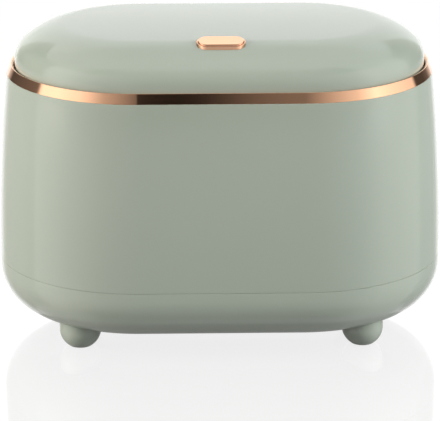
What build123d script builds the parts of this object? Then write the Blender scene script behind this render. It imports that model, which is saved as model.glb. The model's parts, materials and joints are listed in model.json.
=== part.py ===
"""Countertop waste bin with a press-button flip lid, millimetres, +Z up.

The origin is on the table under the middle of the bin. The front, with the latch, faces -Y,
and the lid's hinge is at the back. Every moulded ring, tub and dome has the same stadium
plan, a straight stretch with a half circle at each end. Such a piece is drawn once as a
section: x is the distance out from the line that joins the two end centres, and y is the
height above the table.
"""
import os
from math import asin, atan, cos, degrees, pi, radians, sin, sqrt, tan

from build123d import *

# Overall plan
end_radius = 75.0  # half the depth at the widest level
half_straight = 42.5  # half the straight stretch between the two end centres

# Heights of the outside
underside = 11.0
corner_radius = 24.75  # round between the floor and the wall
seam = 40.0  # joint between the base and the upper shell
trim_bottom = 139.5
trim_height = 5.2
trim_inset = 5.2  # how far the wall has leaned in where the trim begins

# Walls and fits
shell_wall = 2.2
base_wall = 2.5
lid_wall = 2.2
slip_fit = 0.2  # gap between mouldings that slide together
moving_gap = 0.3  # gap between pieces that move past each other
screw_gap = 0.05  # gap round a screw or a fixed pin
sink = 0.5  # how far a rib, boss or foot reaches into what carries it
past = 1.0  # how far a cut runs on past the face that it opens

# Spigot that snaps the base into the shell
spigot_height = 8.0
spigot_wall = 1.8
snap_height = 0.4
snap_level = 4.5  # height of the bead above the seam
snap_half = 1.0  # half the bead's height on the wall

# Feet
foot_spread = 32.0  # from each end centre along to the feet
foot_setback = 36.0  # from the widest level in to the feet
foot_radius = 11.0
foot_flat = 6.0  # radius of the flat that the foot stands on
foot_socket_top = 17.5
foot_socket_wall = 2.5

# Trim ring and the frame inside it
trim_wall = 2.4  # at the foot of the band
trim_lean = 2.1  # how far the band leans in on its way up
trim_edge = 0.4
bevel_run = 1.2
bevel_drop = 0.9
bevel_wall = 1.4
frame_skirt = 11.0
post_length = 26.0  # screw posts of the shell, below the frame
web_thick = 1.6
web_gap = 1.0  # from the top of a post's web up to the frame's skirt
lean_start = 2.0  # the inside of the shell leans from this far above the spigot
frame_wall = 1.8
rim_wall = 1.1
rim_top_gap = 0.2
ledge_rise = 0.3  # the ledge stands this far above the foot of the trim
bucket_seat_depth = 2.0
bucket_seat_width = 3.0
ledge_width = 8.6  # from the rim in to the bucket's opening
ledge_floor = 2.0

# Inner bucket
bucket_wall = 1.8
bucket_rim_thick = 1.6
bucket_floor = 24.0
bucket_draft = 1.5  # degrees
bucket_corner = 10.0  # round inside, between the floor and the wall
bucket_heel = 7.0  # flat outside, across the same corner
grip_width = 30.0
grip_height = 12.0
grip_drop = 9.0  # from the rim down to the top of the grip hole

# Lid
lid_gap = 0.5
lid_skirt = 3.7  # from the trim's top edge down to the skirt's foot
edge_rise = 1.6  # from the trim's top edge up to where the skirt's round begins
edge_radius = 13.75  # round where the skirt turns into the shoulder
edge_turn = 49.0  # degrees that this round turns
shoulder_radius = 36.5
crown_slope = 3.0  # degrees, where the shoulder runs into the crown
liner_thick = 2.2
liner_recess = 0.3
panel_setback = 3.0  # the raised panel ends this far behind the spring's stop
panel_rise = 4.0
gasket_thick = 0.9

# Hinge
hinge_behind = 5.9  # from the lid's skirt back to the hinge's axis
hinge_rise = 4.3  # from the trim's top edge up to the hinge's axis
hinge_pin_radius = 1.5
pin_running_gap = 0.05
pin_setback = 0.5  # the pin's ends lie this far inside the outer knuckles
knuckle_radius = 3.2
outer_knuckle = 6.0
inner_knuckle = 5.0
hinge_reach = 34.0  # middle of the bin to the end of the outer knuckle
lid_arm_width = 6.4
spring_bay = 8.6
trim_notch_margin = 2.0
trim_notch_floor = 0.5  # the notch goes this far below the trim's top edge
trim_notch_inner = 2.8  # inside the band, the notch stops this far above the trim's foot

# Torsion springs in the hinge
hinge_wire = 0.4
hinge_wire_sides = 5
hinge_coil = 2.4
hinge_turns = 3.75  # the two legs leave a quarter turn apart
hinge_pitch = 1.25
spring_leg_inset = 1.5  # from the inner knuckle to the leg in the frame
spring_shelf = 1.2
shelf_half = 1.4

# Button and its bezel
button_setback = 20.3  # from the lid's front edge back to the button
button_width = 23.6
button_depth = 9.2
button_proud = 2.0
bezel_proud = 1.3
bezel_wall = 0.6
button_gap = 0.12
button_wall = 1.2
button_lip = 0.8
button_lip_thick = 1.4
button_cap = 1.0  # thickness of the cap over its hollow, below the lid's surface
button_edge = 0.35
press_travel = 2.5
bezel_flange = 2.0
bezel_gap = 0.1
bezel_flange_thick = 1.2
bezel_seat_depth = 5.7  # from the lid's surface down to the flange's seat
bezel_boss_wall = 2.4
bezel_screw_out = 5.7  # from the collar's end out to the screw
stem_width = 8.0
stem_depth = 6.0

# Latch
bolt_thick = 3.0
bolt_width = 10.0
wing_width = 2.5
wing_thick = 1.6
wing_length = 14.0
wing_inset = 1.5
nose_reach = 0.2  # how far short of the catch's outer face the nose stops
nose_face = 1.0  # upright face of the nose above its closing bevel
ramp_gap = 0.3
ramp_width = 7.2
ramp_rise = 5.0  # the ramp climbs this far above the bolt
ramp_land = 3.2  # thickness of the ramp at its top
catch_thick = 2.0
catch_clear = 0.9  # gap from the catch to the inside of the lid's skirt
catch_width = 14.0
catch_bar = 1.9
catch_lead = 0.8  # bevel that the closing bolt runs over
rail_wall = 1.6
rail_lip = 1.5
spring_room = 11.5  # from the bolt's back to the spring's stop
spring_stop_wall = 2.0
latch_wire = 0.25
latch_coil = 2.3
latch_turns = 4
latch_wire_sides = 4
spring_pip = 1.4
pip_length = 1.8
catch_play = 0.8  # room round the catch in the liner's slot
stem_play = 0.4  # room beside the stem and the rails' lips

# Screws
liner_screw_inset = 7.2  # from the liner's edge in to its screws
liner_screw_x = 32.0
small_shank = 1.1
small_head = 2.0
small_head_thick = 1.2
foot_shank = 1.4
foot_head = 2.8
foot_head_thick = 1.8
foot_screw_bite = 8.0  # how far a screw goes into the piece that it holds
frame_screw_bite = 7.0
lid_screw_bite = 6.0
bezel_screw_bite = 3.2
hole_spare = 0.8  # a screw's hole runs on past its tip
boss_wall = 1.5
head_sides = 12
shank_sides = 6

# Levels and distances that follow
trim_top = trim_bottom + trim_height
trim_radius = end_radius - trim_inset
trim_inner = trim_radius - trim_lean - trim_edge - bevel_run
shell_inner = end_radius - shell_wall
lid_radius = trim_inner - lid_gap
lid_inner = lid_radius - lid_wall
edge_level = trim_top + edge_rise
edge_centre = Vector(lid_radius - edge_radius, edge_level)
shoulder_shift = Vector(cos(radians(edge_turn)), sin(radians(edge_turn)))
shoulder_centre = edge_centre - shoulder_shift * (shoulder_radius - edge_radius)
lid_bottom = trim_top - lid_skirt
liner_bottom = lid_bottom + liner_recess
liner_top = liner_bottom + liner_thick
liner_radius = lid_inner - slip_fit
ledge = trim_bottom + ledge_rise
bucket_seat = ledge - bucket_seat_depth
frame_outer = trim_radius - shell_wall - slip_fit
trim_lip = trim_top - bevel_drop - bevel_wall
rim_outer = trim_radius - trim_wall - slip_fit
rim_inner = rim_outer - rim_wall
ledge_opening = rim_inner - ledge_width
ledge_under = bucket_seat - ledge_floor
seat_outer = ledge_opening + bucket_seat_width
bolt_bottom = liner_top + moving_gap
bolt_top = bolt_bottom + bolt_thick
catch_outer = lid_inner - catch_clear
catch_inner = catch_outer - catch_thick
button_y = button_setback - lid_radius
button_out = -button_y - shoulder_centre.X
button_surface = shoulder_centre.Y + sqrt(shoulder_radius**2 - button_out**2)
button_tilt = asin(button_out / shoulder_radius)
stem_front = button_y - stem_depth / 2
stem_back = button_y + stem_depth / 2
stem_tip = bolt_top + moving_gap
ramp_foot = stem_front - (stem_tip - bolt_bottom) + ramp_gap * sqrt(2)
ramp_front = ramp_foot + bolt_thick
ramp_top = bolt_top + ramp_rise
bolt_back = -(ramp_front + ramp_rise + ramp_land)
spring_stop = bolt_back - spring_room
panel_reach = spring_stop - panel_setback
latch_axis = ramp_top - latch_coil - latch_wire
hinge_y = lid_radius + hinge_behind
hinge_z = trim_top + hinge_rise
arm_outer = hinge_reach - outer_knuckle - moving_gap
arm_inner = arm_outer - lid_arm_width
spring_outer = arm_inner - moving_gap
spring_inner = spring_outer - spring_bay
spring_leg_x = spring_inner + spring_leg_inset
spring_shelf_low = trim_top - trim_notch_floor + slip_fit
bezel_width = button_width + 2 * (button_gap + bezel_wall)
bezel_depth = button_depth + 2 * (button_gap + bezel_wall)
bezel_seat = button_surface - bezel_seat_depth
bezel_low = bezel_seat - bezel_flange_thick
bezel_screw_x = bezel_width / 2 + bezel_screw_out


def section(*edges):
    """A flat section made of edges that meet end to end."""
    return make_face(Curve() + list(edges))


def outline(*points):
    """A flat section with straight sides."""
    return make_face(Polyline(*points, close=True))


def round_ended(profile):
    """Carry a section round the whole stadium: two straight runs and two turned ends."""
    start = Plane(origin=(half_straight, 0, 0), x_dir=(0, -1, 0), z_dir=(-1, 0, 0))
    placed = start * profile
    front = extrude(placed, 2 * half_straight)
    right = revolve(placed, Axis((half_straight, 0, 0), (0, 0, 1)), 180)
    back = mirror(front, Plane.XZ)
    left = mirror(right, Plane.YZ)
    return front + back + right + left


def across(profile, x_low, x_high):
    """Extrude a section drawn as (Y, Z) from one X to another."""
    plane = Plane(origin=(x_low, 0, 0), x_dir=(0, 1, 0), z_dir=(1, 0, 0))
    return extrude(plane * profile, x_high - x_low)


def post(x, y, bottom, top, radius):
    """An upright round bar."""
    return Pos(x, y, bottom) * extrude(Circle(radius), top - bottom)


def block(x_low, x_high, y_low, y_high, bottom, top):
    """A square-cornered block between two corners."""
    size = (x_high - x_low, y_high - y_low, top - bottom)
    return Pos(x_low, y_low, bottom) * Box(*size, align=(Align.MIN, Align.MIN, Align.MIN))


def around(distance, angle):
    """The point that lies at this distance and angle from the nearer end centre."""
    side = 1 if cos(radians(angle)) > 0 else -1
    x = side * half_straight + distance * cos(radians(angle))
    return x, distance * sin(radians(angle))


def save(name, shape):
    """Write one sub-part to its own file."""
    shape.label = name
    export_step(shape, f"parts/{name}.step")


def dome(inset):
    """The lid's round edge, shoulder and crown, this far inside its outer surface."""
    edge = CenterArc(edge_centre, edge_radius - inset, 0, edge_turn)
    shoulder_turn = 90 - crown_slope - edge_turn
    shoulder = CenterArc(shoulder_centre, shoulder_radius - inset, edge_turn, shoulder_turn)
    joint = shoulder @ 1
    crown_radius = joint.X / sin(radians(crown_slope))
    top = joint.Y + crown_radius * (1 - cos(radians(crown_slope)))
    crown = TangentArc(joint, (0, top), tangent=shoulder % 1)
    return edge, shoulder, crown, top


def chords(arc, count):
    """The points that cut an arc into straight chords."""
    return [arc @ (step / count) for step in range(count + 1)]


def pill(width, depth, bottom, top):
    """An upright bar with the button's rounded outline."""
    return Pos(0, button_y, bottom) * extrude(SlotOverall(width, depth), top - bottom)


def tilted_pill(width, depth, bottom, proud, edge_break):
    """The same bar, cut off parallel to the lid, with its sharp edge broken."""
    upright = (0, -sin(button_tilt), cos(button_tilt))
    cut = Plane(origin=(0, button_y, button_surface + proud), z_dir=upright)
    bar = pill(width, depth, bottom, button_surface + 3 * button_proud)
    bar = split(bar, cut, keep=Keep.BOTTOM)
    top_face = bar.faces().sort_by(Axis.Z)[-1]
    return chamfer(top_face.edges(), edge_break)


def biarc(start, start_direction, end, end_direction):
    """Two arcs that join two points and are tangent to a direction at each."""
    chord = end - start
    both = start_direction + end_direction
    facing = start_direction.dot(end_direction) - 1
    linear = chord.dot(both)
    if abs(facing) < 1e-9:
        reach = chord.dot(chord) / (2 * linear)
    else:
        root = sqrt(linear**2 - 2 * facing * chord.dot(chord))
        reach = (linear - root) / (2 * facing)
    first = start + start_direction * reach
    second = end - end_direction * reach
    middle = (first + second) * 0.5
    return [
        TangentArc(start, middle, tangent=start_direction),
        TangentArc(middle, end, tangent=second - first),
    ]


def coil(radius, pitch, turns):
    """The centre line of a coil that climbs along Z from -Y, as biarcs of a quarter turn each."""
    quarters = round(4 * turns)
    places = []
    headings = []
    for quarter in range(quarters + 1):
        angle = quarter * pi / 2
        climb = 0 if quarter in (0, quarters) else pitch / (2 * pi)
        places.append(Vector(radius * sin(angle), -radius * cos(angle), pitch * quarter / 4))
        headings.append(Vector(radius * cos(angle), radius * sin(angle), climb).normalized())
    arcs = []
    for quarter in range(quarters):
        arcs += biarc(places[quarter], headings[quarter], places[quarter + 1], headings[quarter + 1])
    return arcs


def least_gap(arcs, wire):
    """The smallest gap between neighbouring turns of a coil, measured on points."""
    points = [arc @ share for arc in arcs for share in (0, 0.25, 0.5, 0.75)]
    turn = 8 * 4
    near = [
        (points[low] - points[high]).length
        for low in range(len(points))
        for high in range(low + turn * 3 // 4, min(len(points), low + turn * 5 // 4))
    ]
    return min(near) - 2 * wire


def wire_along(edges, radius, sides):
    """A fine wire, drawn with a few sides, swept along edges that run on from each other."""
    path = Wire([edge.edge() for edge in edges])
    start = Plane(origin=path @ 0, z_dir=path % 0)
    return sweep(start * RegularPolygon(radius, sides), path=path)


def screw(x, y, head_level, up, shank, head, head_thick, length):
    """A screw whose head starts at head_level and whose shank runs up or down from it."""
    way = 1 if up else -1
    shaft = extrude(RegularPolygon(shank, shank_sides), way * (head_thick + length))
    cap = extrude(RegularPolygon(head, head_sides), way * head_thick)
    return Pos(x, y, head_level) * (cap + shaft)


# Where the fasteners stand
frame_screw_angles = (45, 135, 225, 315)
frame_screw_out = seat_outer + small_head + moving_gap
frame_screw_points = [around(frame_screw_out, angle) for angle in frame_screw_angles]
boss = small_shank + boss_wall
liner_screw_out = liner_radius - liner_screw_inset
liner_end_screw = half_straight + liner_screw_out
liner_screw_points = [(liner_end_screw, 0), (-liner_end_screw, 0)]
liner_screw_points += [
    (x, y) for x in (-liner_screw_x, liner_screw_x) for y in (-liner_screw_out, liner_screw_out)
]
foot_x = half_straight + foot_spread
foot_y = end_radius - foot_setback
foot_points = [(x, y) for x in (-foot_x, foot_x) for y in (-foot_y, foot_y)]


def make_base_shell():
    """The tub under the seam, with the snap spigot and a socket for each foot."""
    corner = (end_radius - corner_radius, underside + corner_radius)
    outer = [
        Line((0, underside), (corner[0], underside)),
        CenterArc(corner, corner_radius, 270, 90),
        Line((end_radius, corner[1]), (end_radius, seam)),
    ]
    spigot = shell_inner - slip_fit
    inside = spigot - spigot_wall
    bead = seam + snap_level
    upper = Polyline(
        (end_radius, seam),
        (spigot, seam),
        (spigot, bead - snap_half),
        (spigot + snap_height, bead),
        (spigot, bead + snap_half),
        (spigot, seam + spigot_height),
        (inside, seam + spigot_height),
        (inside, (corner[1] + seam) / 2),
        *reversed(chords(CenterArc(corner, corner_radius - base_wall, 270, 90), 4)),
        (0, underside + base_wall),
        (0, underside),
    )
    shell = round_ended(section(*outer, upper))
    lid_off = round_ended(section(*outer, Polyline((end_radius, seam), (0, seam), (0, underside))))
    sockets = [
        post(x, y, underside, foot_socket_top + foot_socket_wall, foot_radius + foot_socket_wall)
        for x, y in foot_points
    ]
    shell += [socket & lid_off for socket in sockets]
    for x, y in foot_points:
        shell -= post(x, y, 0, foot_socket_top, foot_radius + slip_fit)
        shell -= post(x, y, 0, seam, foot_shank + screw_gap)
    return shell


def make_feet():
    """Four feet: each a short bar with a ball end, flattened where it stands, and a screw hole."""
    ball = foot_radius
    rise = sqrt(ball**2 - foot_flat**2)
    angle = degrees(atan(foot_flat / rise))
    arc = CenterArc((0, rise), ball, 270 + angle, 90 - angle)
    profile = section(
        Line((0, 0), (foot_flat, 0)),
        arc,
        Polyline((ball, rise), (ball, foot_socket_top), (0, foot_socket_top), (0, 0)),
    )
    foot = revolve(Plane.XZ * profile, Axis.Z, 360)
    hole_low = foot_socket_top - foot_screw_bite - hole_spare
    foot -= post(0, 0, hole_low, foot_socket_top, foot_shank + screw_gap)
    return Compound(children=[Pos(x, y, 0) * foot for x, y in foot_points])


def make_foot_screws():
    """The screws that hold the feet from inside the base."""
    head = foot_socket_top + foot_socket_wall + foot_head_thick
    length = foot_socket_wall + foot_screw_bite
    return Compound(
        children=[
            screw(x, y, head, False, foot_shank, foot_head, foot_head_thick, length)
            for x, y in foot_points
        ]
    )


def make_body_shell():
    """The upper shell: leaning wall, snap groove inside the foot and four screw posts."""
    lean = seam + spigot_height + lean_start
    groove = seam + snap_level
    inside = TangentArc((shell_inner, lean), (trim_radius - shell_wall, trim_bottom), tangent=(0, 1))
    profile = section(
        TangentArc((end_radius, seam), (trim_radius, trim_bottom), tangent=(0, 1)),
        Line((trim_radius, trim_bottom), (trim_radius - shell_wall, trim_bottom)),
        Polyline(
            *reversed(chords(inside, 2)),
            (shell_inner, groove + snap_half + slip_fit),
            (shell_inner + snap_height + slip_fit, groove),
            (shell_inner, groove - snap_half - slip_fit),
            (shell_inner, seam),
            (end_radius, seam),
        ),
    )
    shell = round_ended(profile)
    post_low = ledge_under - post_length
    web_high = trim_bottom - frame_skirt - web_gap
    reach = trim_radius - shell_wall / 4
    room = round_ended(outline((0, post_low), (reach, post_low), (reach, web_high), (0, web_high)))
    for angle, (x, y) in zip(frame_screw_angles, frame_screw_points):
        web = block(0, end_radius, -web_thick / 2, web_thick / 2, post_low, web_high)
        web = Pos(x, y, 0) * Rot(0, 0, angle) * web
        shell += post(x, y, post_low, ledge_under, boss) + (web & room)
    hole_low = ledge_under - frame_screw_bite - hole_spare
    for x, y in frame_screw_points:
        shell -= post(x, y, hole_low, ledge_under, small_shank + screw_gap)
    return shell


def make_trim_ring():
    """The plated ring: a leaning band, a thin top edge and a bevel that falls to the lid."""
    inside = trim_radius - trim_wall
    ring = round_ended(
        outline(
            (trim_radius, trim_bottom),
            (trim_radius - trim_lean, trim_top),
            (trim_inner + bevel_run, trim_top),
            (trim_inner, trim_top - bevel_drop),
            (trim_inner, trim_lip),
            (inside, trim_lip),
            (inside, trim_bottom),
        )
    )
    half_notch = hinge_reach + trim_notch_margin
    notch_floor = trim_top - trim_notch_floor
    inner_floor = trim_bottom + trim_notch_inner
    ring -= block(-half_notch, half_notch, 0, end_radius, notch_floor, trim_top + past)
    ring -= block(-half_notch, half_notch, 0, inside, inner_floor, trim_top + past)
    return ring


def knuckle(x_low, x_high, foot):
    """A hinge knuckle: a barrel round the pin, joined to a foot drawn as (Y, Z)."""
    barrel = Pos(hinge_y, hinge_z) * Circle(knuckle_radius)
    return across(foot + barrel, x_low, x_high)


def make_rim_frame():
    """The frame under the trim: ledge for lid and bucket, hinge knuckles and the catch."""
    skirt_bottom = trim_bottom - frame_skirt
    rim_top = trim_lip - rim_top_gap
    skirt_top = trim_bottom - slip_fit
    frame = round_ended(
        outline(
            (frame_outer, skirt_bottom),
            (frame_outer, skirt_top),
            (rim_outer, skirt_top),
            (rim_outer, rim_top),
            (rim_inner, rim_top),
            (rim_inner, ledge),
            (seat_outer, ledge),
            (seat_outer, bucket_seat),
            (ledge_opening, bucket_seat),
            (ledge_opening, ledge_under),
            (frame_outer - frame_wall, ledge_under),
            (frame_outer - frame_wall, skirt_bottom),
        )
    )
    foot = outline(
        (rim_inner, rim_top - sink),
        (rim_outer, rim_top - sink),
        (rim_outer, spring_shelf_low + slip_fit),
        (hinge_y + 0.3 * knuckle_radius, hinge_z - 0.9 * knuckle_radius),
        (hinge_y, hinge_z),
        (hinge_y - 0.8 * knuckle_radius, hinge_z + 0.5 * knuckle_radius),
        (rim_inner, hinge_z - 0.6 * knuckle_radius),
    )
    leg_y = hinge_y - hinge_coil
    shelf_back = leg_y + spring_shelf
    shelf = outline(
        (rim_inner, rim_top - sink),
        (rim_outer, rim_top - sink),
        (rim_outer, spring_shelf_low),
        (shelf_back, spring_shelf_low),
        (shelf_back, spring_shelf_low + spring_shelf),
        (rim_inner, spring_shelf_low + spring_shelf),
    )
    for side in (1, -1):
        for high, width in ((hinge_reach, outer_knuckle), (spring_inner, inner_knuckle)):
            ends = sorted((side * (high - width), side * high))
            frame += knuckle(*ends, foot)
        leg = side * spring_leg_x
        shelf_top = spring_shelf_low + spring_shelf
        frame += across(shelf, leg - shelf_half, leg + shelf_half)
        frame -= post(leg, leg_y, spring_shelf_low, shelf_top, hinge_wire + screw_gap)
    pin_hole = Pos(hinge_y, hinge_z) * Circle(hinge_pin_radius + screw_gap / 2)
    frame -= across(pin_hole, -hinge_reach, hinge_reach)
    half = catch_width / 2
    top = bolt_top + moving_gap + catch_bar
    catch = block(-half, half, -catch_outer, -catch_inner, ledge - sink, top)
    catch -= block(
        -bolt_width / 2 - moving_gap,
        bolt_width / 2 + moving_gap,
        -catch_outer,
        -catch_inner,
        bolt_bottom - moving_gap,
        bolt_top + moving_gap,
    )
    inner_edge = catch.edges().filter_by(Axis.X).group_by(Axis.Z)[-1].sort_by(Axis.Y)[-1]
    frame += chamfer(inner_edge, catch_lead)
    for x, y in frame_screw_points:
        frame -= post(x, y, ledge_under, ledge, small_shank + screw_gap)
        frame -= post(x, y, ledge - small_head_thick, ledge, small_head + slip_fit)
    return frame


def make_frame_screws():
    """The screws that hold the frame to the shell's posts."""
    length = ledge - small_head_thick - ledge_under + frame_screw_bite
    return Compound(
        children=[
            screw(x, y, ledge, False, small_shank, small_head, small_head_thick, length)
            for x, y in frame_screw_points
        ]
    )


def make_inner_bucket():
    """The loose bucket: drafted wall, rounded floor, hanging rim and two grip holes."""
    outer_top = ledge_opening - 2.5 * slip_fit
    rim_out = seat_outer - 2.5 * slip_fit
    lean = tan(radians(bucket_draft))
    outer_low = outer_top - (bucket_seat - bucket_floor) * lean
    rim_top = bucket_seat + bucket_rim_thick
    outer = outline(
        (0, bucket_floor),
        (outer_low, bucket_floor),
        (outer_top, bucket_seat),
        (rim_out, bucket_seat),
        (rim_out, rim_top),
        (0, rim_top),
    )
    inner = outline(
        (0, bucket_floor + bucket_wall),
        (outer_low - bucket_wall + bucket_wall * lean, bucket_floor + bucket_wall),
        (outer_top - bucket_wall, rim_top),
        (0, rim_top),
    )
    heel = outer.vertices().filter_by(lambda v: abs(v.X - outer_low) < 0.01)
    outer = chamfer(heel, bucket_heel)
    inner_foot = inner.vertices().sort_by(Axis.Y)[:2].sort_by(Axis.X)[-1]
    inner = fillet(inner_foot, bucket_corner)
    bucket = round_ended(outer) - round_ended(inner)
    grip = Plane.YZ * SlotOverall(grip_width, grip_height)
    level = rim_top - grip_drop - grip_height / 2
    bucket -= Pos(0, 0, level) * extrude(grip, half_straight + end_radius, both=True)
    return bucket


def make_lid_shell():
    """The lid's outer moulding: dome, skirt, button boss, screw posts and two hinge arms."""
    *outside, outer_top = dome(0)
    inner_edge, inner_shoulder, _, inner_top = dome(lid_wall)
    inside = Polyline(
        (0, outer_top),
        (0, inner_top),
        *reversed(chords(inner_shoulder, 3)),
        *reversed(chords(inner_edge, 2)[:-1]),
        (lid_inner, lid_bottom),
        (lid_radius, lid_bottom),
        (lid_radius, edge_level),
    )
    shell = round_ended(section(*outside, inside))
    closed_base = Polyline(
        (0, outer_top), (0, lid_bottom), (lid_radius, lid_bottom), (lid_radius, edge_level)
    )
    solid_lid = round_ended(section(*outside, closed_base))
    hole_width = bezel_width + 2 * bezel_gap
    hole_depth = bezel_depth + 2 * bezel_gap
    posts = pill(hole_width + 2 * bezel_boss_wall, hole_depth + 2 * bezel_boss_wall, bezel_seat, outer_top)
    for side in (-1, 1):
        posts += post(side * bezel_screw_x, button_y, bezel_seat, outer_top, boss)
    for x, y in liner_screw_points:
        posts += post(x, y, liner_top, outer_top, boss)
    shell += posts & solid_lid
    shell -= pill(hole_width, hole_depth, bezel_seat, outer_top + past)
    flange_room = 2 * (bezel_flange + slip_fit)
    shell -= pill(bezel_width + flange_room, bezel_depth + flange_room, bezel_low - past, bezel_seat)
    bezel_hole = bezel_seat + bezel_screw_bite + hole_spare
    for side in (-1, 1):
        shell -= post(side * bezel_screw_x, button_y, bezel_seat, bezel_hole, small_shank + screw_gap)
    liner_hole = liner_top + lid_screw_bite + hole_spare
    for x, y in liner_screw_points:
        shell -= post(x, y, liner_top, liner_hole, small_shank + screw_gap)
    mid_wall = lid_radius - lid_wall / 2
    arm = outline(
        (mid_wall, trim_top - trim_notch_floor + moving_gap),
        (hinge_y, hinge_z - knuckle_radius),
        (hinge_y, hinge_z),
        (hinge_y - 0.3 * knuckle_radius, hinge_z + 0.9 * knuckle_radius),
        (mid_wall - sink, hinge_z),
    )
    bore = Pos(hinge_y, hinge_z) * Circle(hinge_pin_radius + pin_running_gap)
    leg_level = hinge_z - hinge_coil
    for side in (-1, 1):
        ends = sorted((side * arm_inner, side * arm_outer))
        shell += knuckle(*ends, arm)
        shell -= across(bore, *ends)
        leg = side * (spring_leg_x + hinge_turns * hinge_pitch)
        pocket = extrude(Circle(hinge_wire + moving_gap), hinge_y - lid_inner)
        shell -= Pos(leg, lid_inner - past, leg_level) * Rot(-90, 0, 0) * pocket
    return shell


def make_lid_liner():
    """The plate that closes the lid from below and carries the latch's rails."""
    step = panel_rise
    low = liner_bottom
    plate = round_ended(
        outline(
            (0, low + step),
            (panel_reach, low + step),
            (panel_reach + step, low),
            (liner_radius, low),
            (liner_radius, liner_top),
            (panel_reach + step + sink, liner_top),
            (panel_reach + sink, liner_top + step),
            (0, liner_top + step),
        )
    )
    wing_out = bolt_width / 2 + wing_width
    rail_in = wing_out + moving_gap
    lip_in = bolt_width / 2 + stem_play
    lip_low = bolt_bottom + wing_thick + moving_gap
    lip_top = lip_low + rail_lip
    rail_front = -catch_inner + catch_play + sink
    rail_back = -bolt_back + press_travel
    rail = outline(
        (rail_in, liner_top - sink),
        (rail_in, lip_low),
        (lip_in, lip_low),
        (lip_in, lip_top),
        (rail_in + rail_wall, lip_top),
        (rail_in + rail_wall, liner_top - sink),
    )
    rail = Pos(0, rail_back, 0) * extrude(Plane.XZ * rail, rail_back - rail_front)
    plate += rail + mirror(rail, Plane.YZ)
    stop = outline(
        (-spring_stop, liner_top - sink),
        (-spring_stop, ramp_top),
        (-spring_stop + spring_stop_wall, ramp_top),
        (-spring_stop + spring_stop_wall, liner_top + step - slip_fit),
        (-spring_stop + spring_stop_wall + spring_pip, liner_top + step - sink),
        (-spring_stop + spring_stop_wall, liner_top - sink),
    )
    stop_half = latch_coil + spring_stop_wall
    plate += across(stop, -stop_half, stop_half)
    plate += Pos(0, -spring_stop, latch_axis) * Rot(90, 0, 0) * extrude(Circle(spring_pip), pip_length)
    slot_half = catch_width / 2 + catch_play
    slot_back = -catch_inner + catch_play
    plate -= block(-slot_half, slot_half, -liner_radius - past, slot_back, low - past, liner_top + past)
    for x, y in liner_screw_points:
        plate -= post(x, y, low, liner_top, small_shank + screw_gap)
        plate -= post(x, y, low, low + small_head_thick, small_head + slip_fit)
    return plate


def make_lid_screws():
    """The screws that hold the liner to the lid."""
    length = liner_thick - small_head_thick + lid_screw_bite
    return Compound(
        children=[
            screw(x, y, liner_bottom, True, small_shank, small_head, small_head_thick, length)
            for x, y in liner_screw_points
        ]
    )


def make_lid_gasket():
    """The soft ring glued under the lid's skirt, which closes the gap to the frame."""
    return round_ended(
        outline(
            (lid_inner + slip_fit, lid_bottom),
            (lid_inner + slip_fit, lid_bottom - gasket_thick),
            (lid_radius - slip_fit, lid_bottom - gasket_thick),
            (lid_radius - slip_fit, lid_bottom),
        )
    )


def make_button_bezel():
    """The collar round the button: a plated tube with a screwed flange inside the lid."""
    flange = 2 * bezel_flange
    bezel = tilted_pill(bezel_width, bezel_depth, bezel_low, bezel_proud, bezel_wall / 3)
    bezel += pill(bezel_width + flange, bezel_depth + flange, bezel_low, bezel_seat)
    bezel += pill(2 * (bezel_screw_x + boss), 2 * boss, bezel_low, bezel_seat)
    for side in (-1, 1):
        bezel -= post(side * bezel_screw_x, button_y, bezel_low, bezel_seat, small_shank + screw_gap)
    bore_width = button_width + 2 * button_gap
    bore_depth = button_depth + 2 * button_gap
    bezel -= pill(bore_width, bore_depth, bezel_low, button_surface + 3 * button_proud)
    return bezel


def make_bezel_screws():
    """The two screws that hold the bezel's flange."""
    low = bezel_low - small_head_thick
    length = bezel_flange_thick + bezel_screw_bite
    return Compound(
        children=[
            screw(x, button_y, low, True, small_shank, small_head, small_head_thick, length)
            for x in (-bezel_screw_x, bezel_screw_x)
        ]
    )


def make_push_button():
    """The button: tilted cap, hollow skirt with a holding lip, and the wedge-ended stem."""
    lip_top = bezel_low - moving_gap
    lip_bottom = lip_top - button_lip_thick
    button = tilted_pill(button_width, button_depth, lip_bottom, button_proud, button_edge)
    button += pill(button_width + 2 * button_lip, button_depth + 2 * button_lip, lip_bottom, lip_top)
    inner_width = button_width - 2 * button_wall
    inner_depth = button_depth - 2 * button_wall
    button -= pill(inner_width, inner_depth, lip_bottom, button_surface - button_cap)
    stem = outline(
        (stem_front, stem_tip),
        (stem_front, button_surface),
        (stem_back, button_surface),
        (stem_back, stem_tip + stem_depth),
    )
    button += across(stem, -stem_width / 2, stem_width / 2)
    return button


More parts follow.
